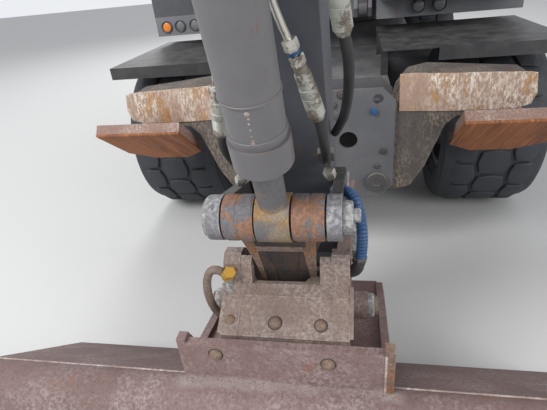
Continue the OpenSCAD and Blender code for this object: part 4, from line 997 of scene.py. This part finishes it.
def shade_ring(form, at, axis, inner, outer, depth, sides):
    """A dark ring of painted shade in the gap round a bolt's head."""
    form.lathe(at, axis, [(-depth, inner), (-depth, outer), (0.8, outer), (1, inner)], sides, loop=True)


# H-link: edges of its cheeks, cross bar, and a dark sheet of painted shade in the gap above it


def flat_on_link(name, finish, low_v, high_v, outlines, round_edges=0.0):
    """Flat pieces on the front of the H-link, from corners along and beside the link."""
    form = Form()
    for outline in outlines:
        form.loft([[on_link(u, v, y) for u, y in outline] for v in (low_v, high_v)])
    form.piece(name, finish, "h_link", "rusty_steel", round_edges)


flat_on_link("link_cheek_edges", "ear_rust", -6.0, -3.2, [
    [(66, -117), (66, -80), (150, -72), (300, -66), (300, -78), (200, -88), (120, -104)],
    [(66, 40), (66, 96), (120, 92), (200, 88), (300, 82), (300, 68), (150, 56)],
])
flat_on_link("link_cross_bar", "shackle_steel", -9.0, 1.0, [[(124, -73), (124, 53), (143, 57), (143, -72)]], 1.5)
# A dark sheet of painted shade in the gap between the cheeks, above the cross bar.
flat_on_link("link_gap_shade", "dark_hole", -9.0, -7.0, [[(66, -79), (66, 39), (123, 52), (123, -73)]])

# Coupler: bolts, weld seams, dark plates of painted shade in the slots, webs, ribs and shackle

face_normal = (on_coupler(640, 28, 0) - on_coupler(572, 79, 0)).cross(SIDEWAYS).normalized()
if face_normal.z < 0:
    face_normal = -face_normal
coupler_bolts, coupler_gaps = Form(), Form()
for y, u, size in ((-157, 620, 31), (-26, 622, 36), (102, 623, 33)):
    at = on_coupler(u, 87 - (u - 560.5) * 0.75, y)
    coupler_bolts.dome(at, face_normal, size / 2, 13)
    # Round each bolt, a dark ring of painted shade in its gap.
    shade_ring(coupler_gaps, at, face_normal, size * 0.42, size * 0.58, 3, 24)
on_tool(coupler_bolts, "coupler_bolts", "bolt_rust")
on_tool(coupler_gaps, "coupler_bolt_gap_shade", "dark_hole")
coupler_welds = Form()
ripples(coupler_welds, on_coupler(653, 17, -178), on_coupler(653, 17, 178), 3.5)
ripples(coupler_welds, on_coupler(561, 88, -128), on_coupler(561, 88, 128), 3)
on_tool(coupler_welds, "coupler_welds", "coupler_steel")
# The ear slots are thin dark plates on the coupler's sides: painted shade in the slots.
slots, side_ribs, webs = Form(), Form(), Form()
for side in (-1, 1):
    slots.plate([(432, 118), (470, 170), (486, 160), (448, 108)], on_coupler, side * 179, side * 181.5)
    rib = [(520, 74), (560.5, 128), (560.5, 88), (650, 20), (600, 10), (520, 40)]
    side_ribs.plate(rib, on_coupler, side * 178, side * 190)
web_depth = on_coupler(500, 108, 0) - on_coupler(500, 127, 0)
for side, reach, top_u in ((1, 66, 392), (-1, 30, 470)):
    root = side * 118.0
    outer, inner = root + side * 4, root - side * reach
    corners = ((562, outer), (562, inner), (545, inner), (top_u, root), (top_u, outer))
    face = [on_coupler(u, 128.5, y) for u, y in corners]
    webs.loft([face, [p + web_depth for p in face]])
on_tool(slots, "coupler_ear_slot_shade", "dark_hole")
on_tool(webs, "coupler_webs", "coupler_steel")
on_tool(side_ribs, "coupler_side_ribs", "coupler_steel", round_edges=2)


def at_shackle(x, y, z):
    return mm(x + 66, y + 20, z - 8)


bow = [
    (3352, -190, 784), (3354, -212, 804), (3356, -236, 802), (3357, -252, 772), (3357, -258, 730),
    (3356, -256, 690), (3353, -247, 652), (3349, -230, 626), (3344, -208, 618), (3341, -192, 630),
]
on_tool(Form().bent(at_shackle, bow, 12.5, 14), "shackle", "shackle_steel")
shackle_pin = Form().lathe(
    at_shackle(3341, -190, 618), mm(3352, -190, 786) - mm(3341, -190, 618),
    [(0, 11), (3, 13.5), (162, 13.5), (165, 11)], 24
)
on_tool(shackle_pin, "shackle_pin", "cap_steel")
shackle_bolt = Form().bolt(at_shackle(3356, -184, 794), (0.55, 0.45, 0.7), 34, 24, washer=False)
shackle_bolt.lathe(at_shackle(3352, -190, 778), (0.1, 0, 1), [(0, 17), (20, 18), (26, 14)], 24)
on_tool(shackle_bolt, "shackle_bolt", "yellow_zinc")

# Bucket and its bracket: bolts, weld seams and rusted edges

bracket_bolts, bracket_gaps, bracket_welds = Form(), Form(), Form()
for y, z in ((-187, 621), (124, 612)):
    bracket_bolts.dome(mm(3571.5, y, z), FORWARDS, 18.5, 13)
    # Round each bolt, a dark ring of painted shade in its gap.
    shade_ring(bracket_gaps, mm(3570.5, y, z), FORWARDS, 16, 21.5, 2, 28)
ripples(bracket_welds, mm(3573, -275, 503), mm(3573, 275, 503), 6)
ripples(bracket_welds, mm(3571, 273, 503), mm(3571, 273, 655), 3.5)
on_tool(bracket_bolts, "bracket_bolts", "bolt_rust")
on_tool(bracket_gaps, "bracket_bolt_gap_shade", "dark_hole")
on_tool(bracket_welds, "bracket_welds", "weld_metal")
ear_edge = [(27, 2), (27, 168), (22, 171), (-6, 171), (-6, 168.5), (20, 168.5), (24.5, 165), (24.5, 2)]
ear_edges = Form().plate(ear_edge, bearing((3545.8, 498.9), 0.0), 270.5, 295.5)
on_tool(ear_edges, "bracket_ear_edges", "ear_rust")
heel_seams = Form()
on_heel_back = bearing(BUCKET_HEEL, math.radians(131))
on_heel_floor = bearing(BUCKET_HEEL, math.radians(18))
for y0, y1 in ((-985, -300), (300, 985)):
    ripples(heel_seams, on_heel_back(81, 6, y0), on_heel_back(81, 6, y1), 3.5, 8)
ripples(heel_seams, on_heel_floor(83, -127, -990), on_heel_floor(83, -127, 990), 5, 9)
on_tool(heel_seams, "bucket_seams", "weld_metal")

# Hoses and pipes of the arm


def hose(name, place, rows, width, finish, ridge=0):
    """A hose between two fittings: a tube along a smooth path through places, carried by the stick."""
    path = smooth_path(places(place, rows), 9 if ridge else 5)
    form = Form().tube(path, [width / 2 - ridge * (k % 2) for k in range(len(path))], 14)
    mesh_piece = form.piece(name, finish, "stick", "plastic", crease=25.0 if ridge else 60.0)


def ribbed_coupling(form, start, end, radius, ribs=11):
    """A quick coupling for hoses, with ribs round its sleeve."""
    axis = end - start
    length = axis.length * 1000
    rib = length * 0.36 / ribs
    profile = [
        (0, radius * 0.7), (length * 0.12, radius * 0.72), (length * 0.13, radius * 0.88),
        (length * 0.34, radius * 0.9), (length * 0.35, radius * 0.84), (length * 0.37, radius * 0.84),
        (length * 0.38, radius * 0.96), (length * 0.52, radius * 0.98),
    ]
    for k in range(ribs):
        a = length * 0.53 + rib * k
        profile += [(a + rib * part, radius * share) for part, share in ((0, 0.94), (0.25, 1), (0.7, 1), (0.95, 0.94))]
    profile += [(length * 0.9, radius * 0.9), (length * 0.97, radius * 0.72), (length, radius * 0.6)]
    form.lathe(start, axis, profile, 32)


def hex_nut(form, at, axis, radius, length):
    low, high = length * 0.15, length * 0.85
    form.lathe(at, axis, [(0, radius * 0.88), (low, radius), (high, radius), (length, radius * 0.88)], 6)


couplings, pipes, nuts, clamps = Form(), Form(), Form(), Form()
for start, end, radius in (
    ((975, -222, 82), (832, -222, 112), 21),
    ((908, -216, -116), (786, -216, -134), 20),
    ((1150, -190, 158), (1020, -196, 174), 21),
):
    ribbed_coupling(couplings, on_stick(*start), on_stick(*end), radius)
for rows in (
    [(1900, -205, 20), (1300, -212, 22), (1130, -216, 40), (1010, -222, 72), (975, -222, 82)],
    [(1900, -200, -70), (1250, -206, -72), (1020, -212, -98), (950, -216, -108), (908, -216, -116)],
    [(1900, -160, 150), (1400, -176, 150), (1230, -184, 152), (1150, -190, 158)],
):
    pipes.bent(on_stick, rows, 8.5, 12, 6)
for start, end in (
    ((1000, -222, 76), (975, -222, 82)), ((1035, -221, 66), (1010, -222, 72)),
    ((930, -216, -113), (908, -216, -116)), ((1175, -188, 155), (1150, -190, 158)),
    ((620, -200, -124), (590, -198, -128)), ((640, -200, 124), (610, -198, 130)),
):
    start, end = on_stick(*start), on_stick(*end)
    hex_nut(nuts, start, end - start, 17, (end - start).length * 1000)
for u, v, y, half_y in ((1500, -196, 0, 130), (1180, -199, 0, 130), (690, -192, 120, 22), (690, -192, -126, 22)):
    clamps.box(on_stick(u, v, y), (14, half_y, 12), (on_stick.along, SIDEWAYS, on_stick.across), 3)
    clamps.bolt(on_stick(u, v - 11, y), -on_stick.across, 17, 8)
couplings.piece("quick_couplings", "cream_metal", "stick", "rod_steel")
pipes.piece("stick_pipes", "zinc", "stick", "rod_steel")
nuts.piece("pipe_nuts", "zinc", "stick", "rod_steel")
clamps.piece("pipe_clamps", "cast_dark", "stick", "plastic")
start = on_stick(1020, -222, 69)
blue_cap = Form().lathe(start, on_stick(975, -222, 82) - start, [(0, 13.5), (18, 13.5)], 24)
blue_cap.piece("blue_cap", "hose_blue", "stick", "plastic")
for word, rows in (
    ("front_right", [
        (840, -222, 111), (780, -226, 119), (730, -222, 122), (690, -206, 121), (655, -182, 120), (625, -150, 117),
    ]),
    ("front_left", [
        (985, -172, -104), (920, -192, -112), (860, -213, -124), (796, -216, -133), (750, -218, -138),
        (700, -212, -130), (660, -196, -124), (632, -172, -120), (612, -146, -116),
    ]),
    ("side_right", [
        (1190, -150, 138), (1120, -178, 156), (1028, -196, 173), (960, -190, 182), (860, -160, 180),
        (760, -120, 168), (690, -80, 152), (640, -50, 138),
    ]),
):
    hose(f"hose_{word}", on_stick, rows, 25, "hose_rubber")
hose("hose_blue_sleeve", mm, [
    (3200, 134, 940), (3245, 160, 962), (3296, 187, 972), (3338, 204, 952), (3356, 212, 908), (3354, 214, 858),
    (3345, 211, 806), (3338, 205, 765),
], 32, "hose_blue", ridge=3)
elbow = Form().bent(mm, [(3339, 206, 790), (3336, 203, 762), (3330, 196, 742), (3322, 182, 728)], 18, 14)
hex_nut(elbow, mm(3341, 208, 800), Vector((-0.12, -0.1, -1)), 22, 24)
elbow.piece("hose_elbow", "cast_dark", "stick", "plastic")

# Stabiliser legs: pale front bands of painted sky light over rusty steel, and the soles of the pads

BAND = [
    (398, 893), (398, 1062), (455, 1064), (948, 1042), (972, 1036), (984, 950), (966, 902), (900, 884), (640, 884),
]
SOLE = [(226, -226), (226, 226), (-105, 226), (-226, 105), (-226, -105), (-105, -226)]
PAD_HINGE = (2200, 890, 825)
for side, word in SIDES:
    # Each band is a thin pale plate on the leg's front: painted sky light.
    band = Form().loft([[mm(x, side * y, z) for y, z in BAND] for x in (2299, 2308)])
    band.piece(f"leg_band_{word}", "leg_band", f"leg_{word}", "worn_leg", round_edges=2)
    on_sole = bearing((PAD_HINGE[0], PAD_HINGE[2]), PAD_TILT)
    y = side * PAD_HINGE[1]
    sole = Form().loft([
        [on_sole(u - math.copysign(inset, u), -depth, y + v - math.copysign(inset, v)) for u, v in SOLE]
        for depth, inset in ((104, 0), (114, 0), (118, 4))
    ])
    sole.piece(f"pad_sole_{word}", "pad_sole", f"pad_{word}", "rusty_steel")

# Bolts, pin ends and plug on the chassis end panel

panel = Form()
for y, z, size in ((131, 990, 30), (94, 940, 22), (109, 880, 22), (330, 700, 24)):
    for side in (1, -1):
        panel.bolt(mm(2325, side * y, z), FORWARDS, size, 12)
for side in (-1, 1):
    panel.lathe(mm(2345, side * 300, 540), FORWARDS, [(-6, 50), (2, 52), (6, 48), (6, 20), (3, 18)], 36)
    panel.bolt(mm(2326, side * 300, 622), FORWARDS, 22, 12)
panel.piece("panel_bolts", "cast_dark", "root", "chassis_paint")
plug = Form().lathe(mm(2325, 282, 905), FORWARDS, [(-2, 17), (12, 17), (16, 14), (17, 0)], 28)
plug.piece("panel_plug", "hose_blue", "root", "plastic")

# Lamps: the places of each kind, its rim with its sides, and its lens with its sides

DECK_LAMPS = [(1182, y, 1236) for y in (600, 730)]
ROOF_LAMPS = [(1383, y, 2917) for y in (404, 1181)]
STEP_LAMPS = [(1150, y, 1232) for y in (-1057, -946)]
SMALL_LAMPS = [(1173, y, 1370) for y in (-805, -890)]
TURN_LAMP = (1150, -1161, 1232)
STEP_RIM = [(-4, 30), (-4, 41), (8, 41), (11, 37), (8, 32)]
STEP_LENS = [(-2, 33), (3, 33), (8, 20), (9, 0)]
lenses, rims, turn_lamps, tail_lamps = Form(), Form(), Form(), Form()
for lamps, rim, rim_sides, lens, lens_sides in (
    (DECK_LAMPS, [(-4, 32.4), (-4, 43.2), (8, 43.2), (11, 38.88), (8, 34.2)], 32,
     [(-2, 34.92), (4, 34.92), (8, 25.2), (9.5, 0)], 32),
    (ROOF_LAMPS, [(-4, 26), (-4, 40), (8, 40), (11, 36), (8, 31)], 32, [(-2, 32), (4, 32), (8, 20), (9, 0)], 28),
    (STEP_LAMPS, STEP_RIM, 32, STEP_LENS, 28),
    (SMALL_LAMPS, [(-4, 22), (-4, 32), (6, 32), (8, 29), (6, 25)], 28, [(-2, 26), (3, 26), (7, 15), (8, 0)], 28),
):
    for lamp in lamps:
        rims.lathe(mm(*lamp), FORWARDS, rim, rim_sides, loop=True)
        lenses.lathe(mm(*lamp), FORWARDS, lens, lens_sides)
rims.lathe(mm(*TURN_LAMP), FORWARDS, STEP_RIM, 32, loop=True)
turn_lamps.lathe(mm(*TURN_LAMP), FORWARDS, STEP_LENS, 28)
turn_lamps.lathe(mm(1173, -720, 1370), FORWARDS, [(-2, 27), (4, 27), (10, 17), (11, 0)], 28)
for side in (-1, 1):
    axes = (Vector((-0.9, side * 0.43, 0)), Vector((side * 0.43, 0.9, 0)), UPWARDS)
    tail_lamps.box(mm(-1952, side * 900, 1560), (12, 45, 60), axes, 6)
lenses.piece("lamp_lenses", "lamp_glass", "upper", "glass")
rims.piece("lamp_rims", "plastic", "upper", "plastic")
turn_lamps.piece("turn_lamp", "lamp_orange", "upper", "plastic")
tail_lamps.piece("tail_lamps", "lamp_red", "upper", "plastic")

# Cab: seals round the panes, wiper, handle, controls and mirrors


def strip_loop(form, y, corners, wide):
    """A seal of square section round a pane in a side wall."""
    corners = [mm(x, y, z) for x, z in corners]
    for start, end in zip(corners, corners[1:] + corners[:1]):
        along = (end - start).normalized()
        half = (end - start).length * 500 + wide
        form.box((start + end) / 2, (half, wide, 4), (along, along.cross(SIDEWAYS), SIDEWAYS), 3)


seals = Form()
strip_loop(seals, 1241, [(292, 1902), (1328, 1902), (1269, 2808), (292, 2808)], 12)
strip_loop(seals, 1241, [(-108, 2003), (136, 2003), (136, 2855), (-108, 2855)], 10)
strip_loop(seals, 344, [(-68, 1853), (1026, 1853), (1026, 2855), (-68, 2855)], 12)
seals.piece("pane_seals", "hose_rubber", "upper", "plastic")
wiper = Form().bent(mm, [(1419, 700, 1816), (1418, 720, 1980), (1404, 745, 2140), (1388, 760, 2300)], 6, 8)
wiper.box(mm(1392, 765, 2220), (4, 6, 240), (Vector((0.995, 0, 0.09)), SIDEWAYS, Vector((-0.09, 0.08, 0.99))), 2)
wiper.lathe(mm(1412, 700, 1815), FORWARDS, [(0, 22), (14, 20), (20, 12)], 20)
wiper.piece("wiper", "hose_rubber", "upper", "plastic")
grip = [(1170, 1246, 1810), (1175, 1266, 1810), (1215, 1270, 1810), (1255, 1266, 1810), (1260, 1246, 1810)]
door_handle = Form().box(mm(1215, 1243, 1810), (70, 6, 30), round_by=5).bent(mm, grip, 8)
door_handle.piece("door_handle", "plastic", "cab_door", "plastic")
levers = Form()
for y in (502.5, 1082.5):
    levers.bent(mm, [(430, y, 1870), (440, y, 1960), (436, y, 2020)], 11)
    levers.lathe(mm(438, y, 2000), (0.05, 0, 1), [(0, 0), (4, 18), (30, 24), (70, 26), (90, 18), (96, 0)], 20)
levers.piece("joysticks", "plastic", "upper", "plastic")
mirrors = Form().box(mm(1504, 1193, 2300), (3, 56, 120), round_by=2)
mirrors.box(mm(887, -1125, 2305), (3, 83, 153), round_by=2)
mirrors.piece("mirror_faces", "mirror_glass", "upper", "rod_steel")

# Housing and counterweight: grips, locks, louvres and lifting eyes

hood_grips, lifting_eyes = Form(), Form()
for side in (-1, 1):
    rows = ((700, 2168), (700, 2200), (640, 2206), (560, 2206), (500, 2200), (500, 2168))
    hood_grips.bent(mm, [(-1330, side * y, z) for y, z in rows], 10)
    lifting_eyes.lathe(mm(-1900, side * 500, 2165), UPWARDS, [(0, 40), (6, 42), (10, 36)], 28)
    rows = ((-35, 2172), (-32, 2210), (0, 2226), (32, 2210), (35, 2172))
    lifting_eyes.bent(mm, [(-1900, side * 500 + y, z) for y, z in rows], 9)
hood_grips.piece("hood_grips", "cast_dark", "hood", "plastic")
lifting_eyes.piece("lifting_eyes", "cast_dark", "upper", "cast")
for side, word in SIDES:
    lock = Form().box(mm(-1392, side * 1243, 1760), (30, 6, 50), round_by=4)
    lock.lathe(mm(-1392, side * 1247, 1772), SIDEWAYS * side, [(0, 13), (5, 12), (6, 0)], 20)
    lock.piece(f"door_lock_{word}", "plastic", f"side_door_{word}", "plastic")
    axes = (FORWARDS, Vector((0, 0.8, 0.6 * side)), Vector((0, -0.6 * side, 0.8)))
    slat = Form().box(spot(-1.09, side * 1.2395, 1.566), (210, 6, 4), axes, 1)
    louvres = repeated(slat, "row", 8, (0, 0, 0.05), (0, 0, 0), "body_paint")
    dressed(louvres, f"door_louvres_{word}", "body_paint", f"side_door_{word}")

# Steps and blade: tread bars and edge bolts

for side, word in SIDES:
    for z, level in ((588, "low"), (833, "high")):
        bar = Form().box(mm(-545, side * 1100, z), (4, 90, 4), round_by=1)
        bars = repeated(bar, "row", 30, (0.04, 0, 0), (0, 0, 0), "zinc")
        dressed(bars, f"step_bars_{word}_{level}", "zinc", "root")
edge_bolt = Form().dome(mm(-2356, -1150, 372), Vector((-0.85, 0, 0.53)), 16, 8)
edge_bolts = repeated(edge_bolt, "row", 12, (0, 0.209, 0), (0, 0, 0), "bolt_steel")
dressed(edge_bolts, "blade_edge_bolts", "bolt_steel", "blade")

# Sizes of the model and of the built scene

size = {"cad": [list(v) for v in cad_box], "visual": [list(v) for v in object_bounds()]}
